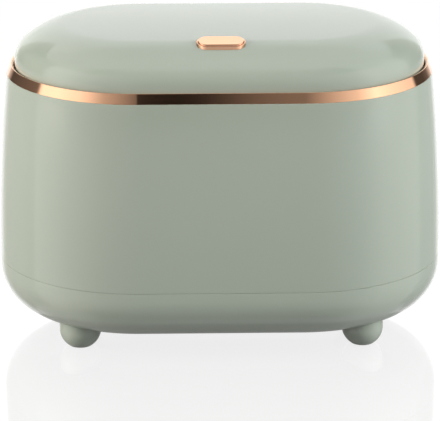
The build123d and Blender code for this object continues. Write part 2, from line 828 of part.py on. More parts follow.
def make_latch_bolt():
    """The bolt: nose with a closing bevel, wings in the rails, and the ramp for the wedge."""
    nose = -catch_outer + nose_reach
    window = ramp_foot - sink
    plate = outline(
        (nose, bolt_top),
        (nose, bolt_top - nose_face),
        (nose + bolt_thick - nose_face, bolt_bottom),
        (window, bolt_bottom),
        (window, bolt_top),
    )
    tail = outline(
        (ramp_foot, bolt_bottom),
        (ramp_front, bolt_top),
        (-bolt_back, bolt_top),
        (-bolt_back, bolt_bottom),
    )
    ramp = outline(
        (ramp_front - sink, bolt_top - sink),
        (ramp_front + ramp_rise, ramp_top),
        (-bolt_back, ramp_top),
        (-bolt_back, bolt_top - sink),
    )
    half = bolt_width / 2
    window_half = stem_width / 2 + stem_play
    bolt = across(plate, -half, half) + across(tail, -half, half)
    for side in (-1, 1):
        ends = sorted((side * half, side * window_half))
        bolt += block(*ends, window - sink, ramp_front, bolt_bottom, bolt_top)
        wing = sorted((side * (half - sink), side * (half + wing_width)))
        wing_back = -bolt_back - wing_inset
        wing_top = bolt_bottom + wing_thick
        bolt += block(*wing, wing_back - wing_length, wing_back, bolt_bottom, wing_top)
    opening = outline(
        (window, bolt_bottom - sink),
        (window, bolt_top),
        (ramp_front, bolt_top),
        (ramp_foot - sink, bolt_bottom - sink),
    )
    bolt -= across(opening, -window_half, window_half)
    bolt += across(ramp, -ramp_width / 2, ramp_width / 2)
    bolt += Pos(0, -bolt_back, latch_axis) * Rot(-90, 0, 0) * extrude(Circle(spring_pip), pip_length)
    return bolt


def make_latch_spring():
    """The compression spring behind the bolt."""
    length = bolt_back - spring_stop - 2 * latch_wire
    turns = coil(latch_coil, length / latch_turns, latch_turns)
    spring = wire_along(turns, latch_wire, latch_wire_sides)
    print("latch spring, least gap between turns:", round(least_gap(turns, latch_wire), 2))
    return Pos(0, -bolt_back + latch_wire, latch_axis) * Rot(-90, 0, 0) * spring


def make_lid_spring(side):
    """One torsion spring: a leg down into the frame, the coil, and a leg into the lid's skirt."""
    turns = coil(hinge_coil, hinge_pitch, hinge_turns)
    start = turns[0] @ 0
    end = turns[-1] @ 1
    frame_leg_length = hinge_z - spring_shelf_low - moving_gap
    lid_leg_length = hinge_y - lid_radius + lid_wall / 2
    frame_leg = Line(start - (turns[0] % 0) * frame_leg_length, start)
    lid_leg = Line(end, end + (turns[-1] % 1) * lid_leg_length)
    wire = wire_along([frame_leg] + turns + [lid_leg], hinge_wire, hinge_wire_sides)
    print("lid spring, least gap between turns:", round(least_gap(turns, hinge_wire), 2))
    left = Plane(origin=(-spring_leg_x, hinge_y, hinge_z), x_dir=(0, 0, 1), z_dir=(-1, 0, 0)) * wire
    return left if side < 0 else mirror(left, Plane.YZ)


def make_hinge_pin():
    """The steel pin through all the knuckles."""
    length = 2 * (hinge_reach - pin_setback)
    pin = Rot(0, 90, 0) * Cylinder(hinge_pin_radius, length)
    return Pos(0, hinge_y, hinge_z) * pin


def main():
    os.makedirs("parts", exist_ok=True)
    save("base_shell", make_base_shell())
    save("body_shell", make_body_shell())
    save("feet", make_feet())
    save("foot_screws", make_foot_screws())
    save("trim_ring", make_trim_ring())
    save("rim_frame", make_rim_frame())
    save("frame_screws", make_frame_screws())
    save("inner_bucket", make_inner_bucket())
    save("hinge_pin", make_hinge_pin())
    save("lid_spring_left", make_lid_spring(-1))
    save("lid_spring_right", make_lid_spring(1))
    save("lid_shell", make_lid_shell())
    save("lid_liner", make_lid_liner())
    save("lid_screws", make_lid_screws())
    save("lid_gasket", make_lid_gasket())
    save("button_bezel", make_button_bezel())
    save("bezel_screws", make_bezel_screws())
    save("push_button", make_push_button())
    save("latch_bolt", make_latch_bolt())
    save("latch_spring", make_latch_spring())


main()
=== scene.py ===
import json
from math import asin, cos, pi, radians, sin, sqrt, tan

import bpy
from mathutils import Matrix, Vector


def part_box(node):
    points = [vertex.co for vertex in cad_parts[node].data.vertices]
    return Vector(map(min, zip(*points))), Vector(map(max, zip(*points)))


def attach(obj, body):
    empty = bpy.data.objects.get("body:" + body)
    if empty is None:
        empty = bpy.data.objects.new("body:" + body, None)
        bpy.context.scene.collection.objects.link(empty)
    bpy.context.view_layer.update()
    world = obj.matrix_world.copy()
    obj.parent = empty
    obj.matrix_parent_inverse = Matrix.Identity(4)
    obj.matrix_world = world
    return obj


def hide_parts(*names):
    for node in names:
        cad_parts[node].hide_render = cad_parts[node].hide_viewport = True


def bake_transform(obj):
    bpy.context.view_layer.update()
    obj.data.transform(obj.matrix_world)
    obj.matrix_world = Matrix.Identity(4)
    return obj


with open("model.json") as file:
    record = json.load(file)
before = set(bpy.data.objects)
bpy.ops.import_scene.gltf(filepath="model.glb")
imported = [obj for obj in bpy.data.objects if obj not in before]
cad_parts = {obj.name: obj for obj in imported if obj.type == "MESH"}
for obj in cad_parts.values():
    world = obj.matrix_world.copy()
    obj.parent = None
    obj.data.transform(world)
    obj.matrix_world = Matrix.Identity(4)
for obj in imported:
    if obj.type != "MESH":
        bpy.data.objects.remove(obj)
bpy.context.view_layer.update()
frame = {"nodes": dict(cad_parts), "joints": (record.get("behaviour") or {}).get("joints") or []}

MM = 0.001
TINY = 1e-6

# Corners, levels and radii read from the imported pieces
body_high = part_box("body_shell")[1]
base_low, base_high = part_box("base_shell")
trim_low, trim_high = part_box("trim_ring")
rim_low, rim_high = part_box("rim_frame")
lid_low, lid_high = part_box("lid_shell")
liner_low, liner_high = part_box("lid_liner")
gasket_low, gasket_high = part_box("lid_gasket")
feet_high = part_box("feet")[1]
button_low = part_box("push_button")[0]
collar_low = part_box("button_bezel")[0]
bolt_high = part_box("latch_bolt")[1]
latch_spring_low, latch_spring_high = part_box("latch_spring")
pin_low, pin_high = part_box("hinge_pin")
bucket_low, bucket_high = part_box("inner_bucket")
HINGE = Vector(next(joint for joint in frame["joints"] if joint["name"] == "lid_hinge")["pos_m"])
END_RADIUS = body_high.y
HALF_STRAIGHT = body_high.x - body_high.y
UNDERSIDE = base_low.z
TRIM_BOTTOM, TRIM_TOP = trim_low.z, trim_high.z
TRIM_RADIUS = trim_high.x - HALF_STRAIGHT
LID_RADIUS = -lid_low.y
LID_BOTTOM, LID_TOP = lid_low.z, lid_high.z

# Fits: fixed pieces, moving pieces, screws, and how far a rib reaches into its wall
SLIP = 0.2 * MM
MOVING = 0.3 * MM
SCREW_GAP = 0.05 * MM
SINK = 0.5 * MM

# Screws: shank radius, head radius, head thickness
SMALL_SCREW = (1.1 * MM, 2.0 * MM, 1.2 * MM)
FOOT_SCREW = (1.4 * MM, 2.8 * MM, 1.8 * MM)
THREAD_PITCH = 0.7 * MM
THREAD_CORE = 0.78  # share of the shank's radius
BOSS_WALL = 1.5 * MM
BOSS = SMALL_SCREW[0] + BOSS_WALL

# How far each thread runs into its post, and how much deeper the hole goes
FOOT_BITE = 8.0 * MM
FRAME_BITE = 7.0 * MM
LINER_BITE = 6.0 * MM
COLLAR_BITE = 3.2 * MM
HOLE_SPARE = 0.8 * MM

# Body, base and feet
SHELL_WALL = 2.2 * MM
BASE_WALL = 2.5 * MM
CORNER_RADIUS = 24.75 * MM
SPIGOT_WALL = 1.8 * MM
SPIGOT_LENGTH = 8.0 * MM
SPIGOT_ROOT = 2.0 * MM  # how far below the seam its inner face begins
SEAM = base_high.z - SPIGOT_LENGTH
POST_LENGTH = 26.0 * MM
WEB_THICK = 1.6 * MM
WEB_DROP = 1.0 * MM  # room between the posts' webs and the frame
FOOT_RADIUS = 11.0 * MM
FOOT_FLAT = 6.0 * MM
FOOT_X = feet_high.x - FOOT_RADIUS
FOOT_Y = feet_high.y - FOOT_RADIUS
SOCKET_TOP = feet_high.z
SOCKET_WALL = 2.5 * MM

# Trim ring and the frame under it
TRIM_WALL = 2.4 * MM
TRIM_LEAN = 2.1 * MM
TRIM_EDGE = 0.4 * MM
BEVEL_RUN = 1.2 * MM
BEVEL_DROP = 0.9 * MM
BEVEL_WALL = 1.4 * MM
TRIM_INNER = TRIM_RADIUS - TRIM_LEAN - TRIM_EDGE - BEVEL_RUN
TRIM_LIP = TRIM_TOP - BEVEL_DROP - BEVEL_WALL
NOTCH_HALF = 36.0 * MM
NOTCH_DEPTH = 0.5 * MM
NOTCH_INNER = 2.8 * MM
FRAME_WALL = 1.8 * MM
RIM_WALL = 1.1 * MM
LEDGE_RISE = 0.3 * MM
LEDGE_WIDTH = 8.6 * MM
LEDGE_THICK = 2.0 * MM
SEAT_DEPTH = 2.0 * MM
SEAT_WIDTH = 3.0 * MM
RIM_OUTER = TRIM_RADIUS - TRIM_WALL - SLIP
RIM_INNER = RIM_OUTER - RIM_WALL
RIM_TOP = TRIM_LIP - SLIP
LEDGE = TRIM_BOTTOM + LEDGE_RISE
BUCKET_SEAT = LEDGE - SEAT_DEPTH
LEDGE_UNDER = BUCKET_SEAT - LEDGE_THICK
OPENING = RIM_INNER - LEDGE_WIDTH
SEAT_OUTER = OPENING + SEAT_WIDTH
FRAME_SCREW_OUT = SEAT_OUTER + SMALL_SCREW[1] + MOVING

# Bucket, with a grip hole through each end of its wall
BUCKET_WALL = 1.8 * MM
BUCKET_RIM = 1.6 * MM
BUCKET_CORNER = 10.0 * MM
BUCKET_DRAFT = radians(1.5)
GRIP_DROP = 15.0 * MM
GRIP_RADIUS = 6.0 * MM
GRIP_RUN = 9.0 * MM

# Lid and its liner
LID_WALL = 2.2 * MM
LID_INNER = LID_RADIUS - LID_WALL
EDGE_RISE = 1.6 * MM
EDGE_LEVEL = TRIM_TOP + EDGE_RISE
EDGE_RADIUS = 13.75 * MM
EDGE_TURN = radians(49.0)
SHOULDER_RADIUS = 36.5 * MM
CROWN_SLOPE = radians(3.0)
SHOULDER_REACH = SHOULDER_RADIUS - EDGE_RADIUS
SHOULDER_OUT = LID_RADIUS - EDGE_RADIUS - SHOULDER_REACH * cos(EDGE_TURN)
SHOULDER_LEVEL = EDGE_LEVEL - SHOULDER_REACH * sin(EDGE_TURN)
LINER_RADIUS = liner_high.x - HALF_STRAIGHT
LINER_THICK = 2.2 * MM
LINER_LOW = liner_low.z
LINER_TOP = LINER_LOW + LINER_THICK
LINER_SCREW_INSET = 7.2 * MM
LINER_SCREW_OUT = LINER_RADIUS - LINER_SCREW_INSET
LINER_SCREW_X = 32.0 * MM
PANEL_RISE = 4.0 * MM
PANEL_INSET = 3.0 * MM
ABOVE_LID = LID_TOP + 9.0 * MM  # where an upright bar ends before it is cut to the lid's slope

# Hinge
KNUCKLE = 3.2 * MM
PIN_RADIUS = 1.5 * MM
ARM_INNER, ARM_OUTER = 21.3 * MM, 27.7 * MM
OUTER_KNUCKLE = (28.0 * MM, 34.0 * MM)
INNER_KNUCKLE = (7.4 * MM, 12.4 * MM)
SHELF_LEVEL = TRIM_TOP - NOTCH_DEPTH + SLIP
SHELF_THICK = 1.2 * MM
SHELF_PAST = 1.2 * MM  # how far the shelf reaches past the spring's leg
SHELF_HALF = 1.4 * MM
SPRING_LEG = 13.9 * MM
HINGE_WIRE = 0.4 * MM
HINGE_COIL = 2.4 * MM
HINGE_TURNS = 3.75
HINGE_PITCH = 1.25 * MM

# Button and its collar
BUTTON_Y = -45.3 * MM
BUTTON_WIDTH, BUTTON_DEPTH = 23.6 * MM, 9.2 * MM
BUTTON_PROUD = 2.0 * MM
BUTTON_LIP = 0.8 * MM
BUTTON_LIP_THICK = 1.4 * MM
BUTTON_WALL = 1.2 * MM
BUTTON_ROOF = 1.0 * MM
COLLAR_GAP = 0.12 * MM
COLLAR_WALL = 0.6 * MM
COLLAR_PROUD = 1.3 * MM
COLLAR_WIDTH = BUTTON_WIDTH + 2 * (COLLAR_GAP + COLLAR_WALL)
COLLAR_DEPTH = BUTTON_DEPTH + 2 * (COLLAR_GAP + COLLAR_WALL)
COLLAR_BOSS_WALL = 2.4 * MM
FLANGE_THICK = 1.2 * MM
FLANGE_REACH = 2.0 * MM
EAR_REACH = 5.7 * MM  # from the collar's end to the screw
COLLAR_SEAT = collar_low.z + FLANGE_THICK
COLLAR_SCREW_X = COLLAR_WIDTH / 2 + EAR_REACH
BUTTON_OUT = -BUTTON_Y - SHOULDER_OUT  # from the centre of the shoulder's arc
BUTTON_TILT = asin(BUTTON_OUT / SHOULDER_RADIUS)
BUTTON_SURFACE = SHOULDER_LEVEL + sqrt(SHOULDER_RADIUS**2 - BUTTON_OUT**2)
STEM_HALF = 3.0 * MM
STEM_SIDE = 4.0 * MM

# Latch: the bolt, its rails, the catch that it goes under and its spring
BOLT_THICK = 3.0 * MM
BOLT_BOTTOM = LINER_TOP + MOVING
BOLT_TOP = BOLT_BOTTOM + BOLT_THICK
BOLT_HALF = 5.0 * MM
BOLT_TRAVEL = 2.5 * MM
WING_WIDTH = 2.5 * MM
WING_THICK = 1.6 * MM
STEM_PLAY = 0.4 * MM  # room beside the stem and the rails' lips
PIP_RADIUS = 1.4 * MM
PIP_LENGTH = 1.8 * MM
CATCH_GAP = 0.9 * MM
CATCH_THICK = 2.0 * MM
CATCH_BRIDGE = 2.2 * MM
CATCH_LEAD = 0.8 * MM
CATCH_PLAY = 0.8 * MM  # room round the catch in the liner's slot
CATCH_OUTER = LID_INNER - CATCH_GAP
CATCH_INNER = CATCH_OUTER - CATCH_THICK
CATCH_HALF = 7.0 * MM
CATCH_TOP = BOLT_TOP + CATCH_BRIDGE
RAIL_WALL = 1.6 * MM
RAIL_LIP = 1.5 * MM
RAIL_INNER = BOLT_HALF + WING_WIDTH + MOVING
RAIL_LIP_INNER = BOLT_HALF + STEM_PLAY
RAIL_LIP_LOW = BOLT_BOTTOM + WING_THICK + MOVING
LATCH_COIL = 2.3 * MM
LATCH_WIRE = 0.25 * MM
LATCH_TURNS = 4
SPRING_STOP = latch_spring_high.y
STOP_WALL = 2.0 * MM
STOP_RIB = 1.4 * MM
STOP_HALF = LATCH_COIL + STOP_WALL
LATCH_AXIS = (latch_spring_low.z + latch_spring_high.z) / 2

# Surfaces: how far pigment and plating drift, and how much roughness varies round its middle
PIGMENT_CLOUD = 70 * MM
PLATING_CLOUD = 25 * MM
PLASTIC_SPREAD = 0.15
METAL_SPREAD = 0.2
LINE_STRETCH = 0.02  # a polishing line is fifty times as long as it is wide

# Studio, with the floor's shares of mirror and shadow for the camera and, doubled, for the gloss
FLOOR_WHITE = "#ffffff"
FLOOR_LIGHT = "#868686"
FLOOR_SIZE = 12
FLOOR_POLISH = 0.03
FLOOR_MIRROR = 0.15
FLOOR_DOUBLE_MIRROR = 0.6
FLOOR_SHADOW = 0.04
FLOOR_DOUBLE_SHADOW = 0.25
MIRROR_FADE_START, MIRROR_FADE_END = 0.25, 0.7  # metres from the bin's middle
ROOM_SEEN = 1.0
ROOM_AS_LIGHT = 0.25
PANEL_DISTANCE = 1.4
PANEL_STEP = 3  # degrees

# Steps round half a turn at an end, round a whole turn, and along one coil of a spring
END_STEPS = 64
ROUND_STEPS = 64
SPRING_STEPS = 24


def place_camera():
    """The photograph's viewpoint, fitted to the outline, the ring, the seam, the feet and the button."""
    target = Vector((0, 0, 85 * MM))
    elevation, yaw, roll = radians(16.87), radians(-1.05), radians(-0.15)
    distance = 1.501
    image_width, image_height = 440, 421
    focal_pixels = 2809.7
    centre_x, centre_y = 219.75, 167.63
    sensor_width = 36.0
    back = Vector((sin(yaw) * cos(elevation), -cos(yaw) * cos(elevation), sin(elevation)))
    right = Vector((0, 0, 1)).cross(back).normalized()
    up = back.cross(right)
    rolled_right = cos(roll) * right + sin(roll) * up
    rolled_up = cos(roll) * up - sin(roll) * right
    turn = Matrix((rolled_right, rolled_up, back)).transposed().to_4x4()
    bpy.ops.object.camera_add()
    camera = bpy.context.object
    camera.matrix_world = Matrix.Translation(target + distance * back) @ turn
    camera.data.sensor_width = sensor_width
    camera.data.lens = focal_pixels / image_width * sensor_width
    camera.data.shift_x = (image_width / 2 - centre_x) / image_width
    camera.data.shift_y = (centre_y - image_height / 2) / image_width
    camera.data.clip_start = 10 * MM
    bpy.context.scene.camera = camera


def linear(colour):
    """An sRGB hex colour as linear RGBA."""
    parts = [int(colour[place:place + 2], 16) / 255 for place in (1, 3, 5)]
    return [part / 12.92 if part <= 0.04045 else ((part + 0.055) / 1.055) ** 2.4 for part in parts] + [1]


def add(tree, kind, inputs=None, **settings):
    """Add a node with its settings; each input is a value or the socket that feeds it."""
    made = tree.nodes.new(kind)
    for name, value in settings.items():
        setattr(made, name, value)
    for socket, value in (inputs or {}).items():
        if isinstance(value, bpy.types.NodeSocket):
            tree.links.new(value, made.inputs[socket])
        else:
            made.inputs[socket].default_value = value
    return made


def new_material(name):
    """An empty material with its output node."""
    material = bpy.data.materials.new(name)
    material.use_nodes = True
    tree = material.node_tree
    tree.nodes.clear()
    return material, tree, add(tree, "ShaderNodeOutputMaterial")


def moulded_plastic(name, colour, shade, roughness, grain, grain_height, ior=1.53):
    """Injection-moulded plastic.

    The pigment drifts a little from one side of a moulding to the other, so the colour moves
    between two near shades over a few centimetres, and the surface carries the tool's fine grain.
    """
    material, tree, output = new_material(name)
    place = add(tree, "ShaderNodeTexCoord").outputs["Object"]
    drift = add(tree, "ShaderNodeTexNoise", {"Vector": place, "Scale": 1 / PIGMENT_CLOUD, "Detail": 2.0})
    tint = add(
        tree,
        "ShaderNodeMix",
        {"Factor": drift.outputs["Fac"], "A": linear(colour), "B": linear(shade)},
        data_type="RGBA",
    )
    fine = add(tree, "ShaderNodeTexNoise", {"Vector": place, "Scale": 1 / grain, "Detail": 3.0})
    rough = add(
        tree,
        "ShaderNodeMapRange",
        {
            "Value": fine.outputs["Fac"],
            "To Min": roughness * (1 - PLASTIC_SPREAD),
            "To Max": roughness * (1 + PLASTIC_SPREAD),
        },
    )
    bump = add(
        tree, "ShaderNodeBump", {"Height": fine.outputs["Fac"], "Distance": grain_height, "Strength": 1.0}
    )
    shader = add(
        tree,
        "ShaderNodeBsdfPrincipled",
        {
            "Base Color": tint.outputs["Result"],
            "Roughness": rough.outputs["Result"],
            "Normal": bump.outputs["Normal"],
            "IOR": ior,
        },
    )
    tree.links.new(shader.outputs["BSDF"], output.inputs["Surface"])
    return material


def plated_metal(name, colour, shade, roughness, line, line_height):
    """Metal with fine drawn or polished lines that run level round the piece."""
    material, tree, output = new_material(name)
    place = add(tree, "ShaderNodeTexCoord").outputs["Object"]
    stretch = add(tree, "ShaderNodeMapping", {"Vector": place, "Scale": (LINE_STRETCH, LINE_STRETCH, 1.0)})
    lines = add(
        tree, "ShaderNodeTexNoise", {"Vector": stretch.outputs["Vector"], "Scale": 1 / line, "Detail": 2.0}
    )
    cloud = add(tree, "ShaderNodeTexNoise", {"Vector": place, "Scale": 1 / PLATING_CLOUD, "Detail": 2.0})
    tint = add(
        tree,
        "ShaderNodeMix",
        {"Factor": cloud.outputs["Fac"], "A": linear(colour), "B": linear(shade)},
        data_type="RGBA",
    )
    rough = add(
        tree,
        "ShaderNodeMapRange",
        {
            "Value": lines.outputs["Fac"],
            "To Min": roughness * (1 - METAL_SPREAD),
            "To Max": roughness * (1 + METAL_SPREAD),
        },
    )
    bump = add(
        tree, "ShaderNodeBump", {"Height": lines.outputs["Fac"], "Distance": line_height, "Strength": 1.0}
    )
    shader = add(
        tree,
        "ShaderNodeBsdfPrincipled",
        {
            "Base Color": tint.outputs["Result"],
            "Metallic": 1.0,
            "Roughness": rough.outputs["Result"],
            "Normal": bump.outputs["Normal"],
        },
    )
    tree.links.new(shader.outputs["BSDF"], output.inputs["Surface"])
    return material


# Gloss ABS in a grey-green: a hard mirror-like skin with a trace of orange peel
gloss_abs = moulded_plastic("gloss_abs_sage", "#a4aea1", "#a0aa9d", 0.08, 2.2 * MM, 0.0010 * MM)
# Copper-pink chrome plating on plastic: bright, with fine level polishing lines
rose_plating = plated_metal("rose_gold_plating", "#f2c2a0", "#eebb99", 0.07, 0.30 * MM, 0.0005 * MM)
# Satin ABS of the same pigment, a little darker, with a fine spark-eroded grain
satin_abs = moulded_plastic("satin_abs_sage", "#98a294", "#939d8f", 0.42, 0.5 * MM, 0.006 * MM)
# Warm grey polypropylene: waxy, softer gloss and a visible flow drift
bucket_pp = moulded_plastic("polypropylene_grey", "#d2d2cd", "#cacac5", 0.34, 0.7 * MM, 0.005 * MM, 1.49)
# Silicone rubber: matt and soft
silicone = moulded_plastic("silicone_grey", "#d8d8d2", "#d0d0ca", 0.6, 0.4 * MM, 0.004 * MM, 1.41)
# Acetal: a dense milky plastic with a slippery sheen
acetal = moulded_plastic("acetal_white", "#e4e3dc", "#dddcd4", 0.28, 0.5 * MM, 0.003 * MM, 1.48)
# Drawn spring wire and the ground hinge pin: bright steel with drawing lines
spring_steel = plated_metal("drawn_spring_steel", "#c4c5c8", "#b4b5b8", 0.24, 0.12 * MM, 0.001 * MM)
# Zinc plating: cooler and cloudier than bare steel
zinc_plate = plated_metal("zinc_plated_steel", "#bcbfc4", "#a9acb2", 0.3, 0.2 * MM, 0.001 * MM)


def only(piece):
    """Select this piece alone."""
    bpy.ops.object.select_all(action="DESELECT")
    piece.select_set(True)
    bpy.context.view_layer.objects.active = piece


def settle(piece):
    """Put the piece's place and turn into its mesh."""
    only(piece)
    bpy.ops.object.transform_apply(location=True, rotation=True, scale=True)


def clear_picked(piece, kind):
    """Choose whether vertices or faces are picked, with none of them picked yet."""
    only(piece)
    bpy.ops.object.mode_set(mode="EDIT")
    bpy.ops.mesh.select_mode(type=kind)
    bpy.ops.mesh.select_all(action="DESELECT")
    bpy.ops.object.mode_set(mode="OBJECT")


def pick(piece, wanted=None):
    """Open the piece for editing with the vertices selected whose place is wanted, or with all."""
    clear_picked(piece, "VERT")
    for vertex in piece.data.vertices:
        vertex.select = wanted is None or wanted(vertex.co)
    bpy.ops.object.mode_set(mode="EDIT")


def pick_faces(piece, wanted):
    """Open the piece for editing with only the faces selected whose centre and normal are wanted."""
    clear_picked(piece, "FACE")
    for face in piece.data.polygons:
        face.select = wanted(face.center, face.normal)
    bpy.ops.object.mode_set(mode="EDIT")


def done():
    """Close the edit."""
    bpy.ops.object.mode_set(mode="OBJECT")


def apply_modifier(piece, kind, **settings):
    """Add a modifier with these settings and apply it."""
    only(piece)
    modifier = piece.modifiers.new(kind.lower(), kind)
    for name, value in settings.items():
        setattr(modifier, name, value)
    bpy.ops.object.modifier_apply(modifier=modifier.name)


def combine(piece, other, how):
    """Cut, fuse or intersect one shape with another and delete the other."""
    apply_modifier(piece, "BOOLEAN", operation=how, object=other, solver="EXACT")
    bpy.data.objects.remove(other)


def cut(piece, *cutters):
    """Cut these shapes out of the piece."""
    combine(piece, join(*cutters), "DIFFERENCE")


def join(piece, *others):
    """Make several shapes one piece."""
    only(piece)
    for other in others:
        other.select_set(True)
    if others:
        bpy.ops.object.join()
    return piece


def face_out(piece):
    """Turn every face of a closed shape outwards."""
    pick(piece)
    bpy.ops.mesh.normals_make_consistent(inside=False)
    done()


def copy_of(piece, name, place):
    """A copy with its own mesh, carried by this matrix."""
    twin = piece.copy()
    twin.data = piece.data.copy()
    twin.name = name
    bpy.context.collection.objects.link(twin)
    twin.data.transform(place)
    if place.is_negative:
        face_out(twin)
    return twin


def other_side(piece):
    """The same shape on the left of the middle."""
    return copy_of(piece, piece.name + "_left", Matrix.Scale(-1, 4, (1, 0, 0)))


def soften(piece, width, segments=3, angle=35):
    """Give the sharp edges a small round."""
    apply_modifier(
        piece, "BEVEL", width=width, segments=segments, limit_method="ANGLE", angle_limit=radians(angle)
    )


def smooth(piece, angle=35):
    """Shade the rounds smooth and keep the flats flat."""
    only(piece)
    bpy.ops.object.shade_smooth_by_angle(angle=radians(angle))
    apply_modifier(piece, "WEIGHTED_NORMAL", keep_sharp=True, weight=60)


def dress(piece, material, body, slot, *nodes):
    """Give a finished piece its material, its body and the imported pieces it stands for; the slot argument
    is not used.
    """
    piece.data.materials.clear()
    piece.data.materials.append(material)
    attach(piece, body)
    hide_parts(*nodes)


def arc(centre, radius, start, end, steps):
    """Points on an arc of a section, as distance out and height."""
    turn = (end - start) / steps
    return [
        (centre[0] + radius * cos(start + turn * step), centre[1] + radius * sin(start + turn * step))
        for step in range(steps + 1)
    ]


def draw_line(name, places):
    """Draw a line by extruding one vertex from place to place."""
    bpy.ops.object.select_all(action="DESELECT")
    bpy.ops.mesh.primitive_plane_add(size=MM, location=places[0])
    piece = bpy.context.object
    piece.name = name
    settle(piece)
    pick(piece)
    bpy.ops.mesh.merge(type="CENTER")
    for before, after in zip(places, places[1:]):
        bpy.ops.mesh.extrude_vertices_move(TRANSFORM_OT_translate={"value": after - before})
    done()
    return piece


def draw_section(name, points, centre_x=HALF_STRAIGHT):
    """Draw a section on the right end's front side.

    A section that keeps clear of the middle line is closed, and one that starts and ends on it isn't.
    """
    places = [Vector((centre_x, -out, height)) for out, height in points]
    piece = draw_line(name, places)
    if points[0][0] > TINY:
        ends = (places[0], places[-1])
        pick(piece, lambda place: min((place - end).length for end in ends) < TINY)
        bpy.ops.mesh.edge_face_add()
        done()
    return piece


def carry_round(piece):
    """Turn the section half round the right end, run it to the middle and mirror it."""
    pick(piece)
    bpy.ops.mesh.spin(steps=END_STEPS, angle=-pi, center=(HALF_STRAIGHT, 0, 0), axis=(0, 0, 1))
    bpy.ops.mesh.select_all(action="SELECT")
    bpy.ops.mesh.remove_doubles(threshold=TINY)
    done()
    pick(piece, lambda place: abs(place.x - HALF_STRAIGHT) < TINY)
    bpy.ops.mesh.extrude_region_move(TRANSFORM_OT_translate={"value": (-HALF_STRAIGHT, 0, 0)})
    done()
    apply_modifier(piece, "MIRROR", merge_threshold=TINY)
    pick(piece)
    bpy.ops.mesh.remove_doubles(threshold=TINY)
    bpy.ops.mesh.normals_make_consistent(inside=False)
    done()
    return piece


def turn_whole(piece, steps=ROUND_STEPS):
    """Turn the section a whole turn about the upright middle axis."""
    pick(piece)
    bpy.ops.mesh.spin(steps=steps, angle=2 * pi, center=(0, 0, 0), axis=(0, 0, 1))
    bpy.ops.mesh.select_all(action="SELECT")
    bpy.ops.mesh.remove_doubles(threshold=TINY)
    bpy.ops.mesh.normals_make_consistent(inside=False)
    done()
    return piece


def block(low, high):
    """A block between two corners."""
    low, high = Vector(low), Vector(high)
    bpy.ops.object.select_all(action="DESELECT")
    bpy.ops.mesh.primitive_cube_add(size=1, location=(low + high) / 2, scale=high - low)
    piece = bpy.context.object
    settle(piece)
    return piece


def rod(start, end, radius, sides=48):
    """A round bar between two places."""
    start, end = Vector(start), Vector(end)
    bpy.ops.object.select_all(action="DESELECT")
    bpy.ops.mesh.primitive_cylinder_add(
        vertices=sides,
        radius=radius,
        depth=(end - start).length,
        location=(start + end) / 2,
        rotation=(end - start).to_track_quat("Z", "Y").to_euler(),
    )
    piece = bpy.context.object
    settle(piece)
    return piece


def post(x, y, low, high, radius, sides=48):
    """An upright round bar."""
    return rod((x, y, low), (x, y, high), radius, sides)


def bar_across(name, outline, x_low, x_high):
    """A bar along X whose section is drawn as (Y, Z)."""
    piece = draw_line(name, [Vector((x_low, y, z)) for y, z in outline])
    pick(piece)
    bpy.ops.mesh.edge_face_add()
    bpy.ops.mesh.extrude_region_move(TRANSFORM_OT_translate={"value": (x_high - x_low, 0, 0)})
    bpy.ops.mesh.select_all(action="SELECT")
    bpy.ops.mesh.normals_make_consistent(inside=False)
    done()
    return piece


def pill(name, width, depth, low, high, sides=64):
    """An upright bar with the button's rounded outline."""
    piece = post(0, BUTTON_Y, low, high, depth / 2, sides)
    piece.name = name
    run = (width - depth) / 2
    for side in (-1, 1):
        pick(piece, lambda place: side * place.x > TINY)
        bpy.ops.transform.translate(value=(side * run, 0, 0))
        done()
    return piece


def slope_off(piece, place, normal):
    """Cut a shape off along a plane and close it."""
    pick(piece)
    bpy.ops.mesh.bisect(plane_co=place, plane_no=normal, use_fill=True, clear_outer=True)
    done()
    return piece


def slope_to_lid(piece, proud):
    """Cut an upright bar parallel to the lid at the button, this far above it."""
    return slope_off(
        piece, (0, BUTTON_Y, BUTTON_SURFACE + proud), (0, -sin(BUTTON_TILT), cos(BUTTON_TILT))
    )


def round_wire(name, places, radius):
    """A round wire that follows a line of places."""
    draw_line(name, places)
    bpy.ops.object.convert(target="CURVE")
    wire = bpy.context.object
    wire.data.bevel_depth = radius
    wire.data.bevel_resolution = 3
    wire.data.use_fill_caps = True
    bpy.ops.object.convert(target="MESH")
    wire = bpy.context.object
    pick(wire)
    bpy.ops.mesh.remove_doubles(threshold=TINY)
    bpy.ops.mesh.normals_make_consistent(inside=False)
    done()
    smooth(wire, 50)
    return wire


def body_wall(inset, steps, low):
    """The upper shell's leaning wall, from this level up to the trim."""
    height = TRIM_BOTTOM - SEAM
    lean = END_RADIUS - TRIM_RADIUS
    radius = (height**2 + lean**2) / (2 * lean)
    last = asin(height / radius)
    first = asin((low - SEAM) / radius)
    return arc((END_RADIUS - radius, SEAM), radius - inset, first, last, steps)


def around(distance, angle):
    """The place this far from the nearer end centre, at this angle."""
    side = 1 if cos(angle) > 0 else -1
    return side * HALF_STRAIGHT + distance * cos(angle), distance * sin(angle)


frame_screw_angles = [radians(angle) for angle in (45, 135, 225, 315)]
frame_screw_places = [around(FRAME_SCREW_OUT, angle) for angle in frame_screw_angles]
foot_places = [(x, y) for x in (-FOOT_X, FOOT_X) for y in (-FOOT_Y, FOOT_Y)]
liner_screw_places = [(side * (HALF_STRAIGHT + LINER_SCREW_OUT), 0) for side in (-1, 1)]
liner_screw_places += [
    (x, y) for x in (-LINER_SCREW_X, LINER_SCREW_X) for y in (-LINER_SCREW_OUT, LINER_SCREW_OUT)
]
collar_screw_places = [(side * COLLAR_SCREW_X, BUTTON_Y) for side in (-1, 1)]


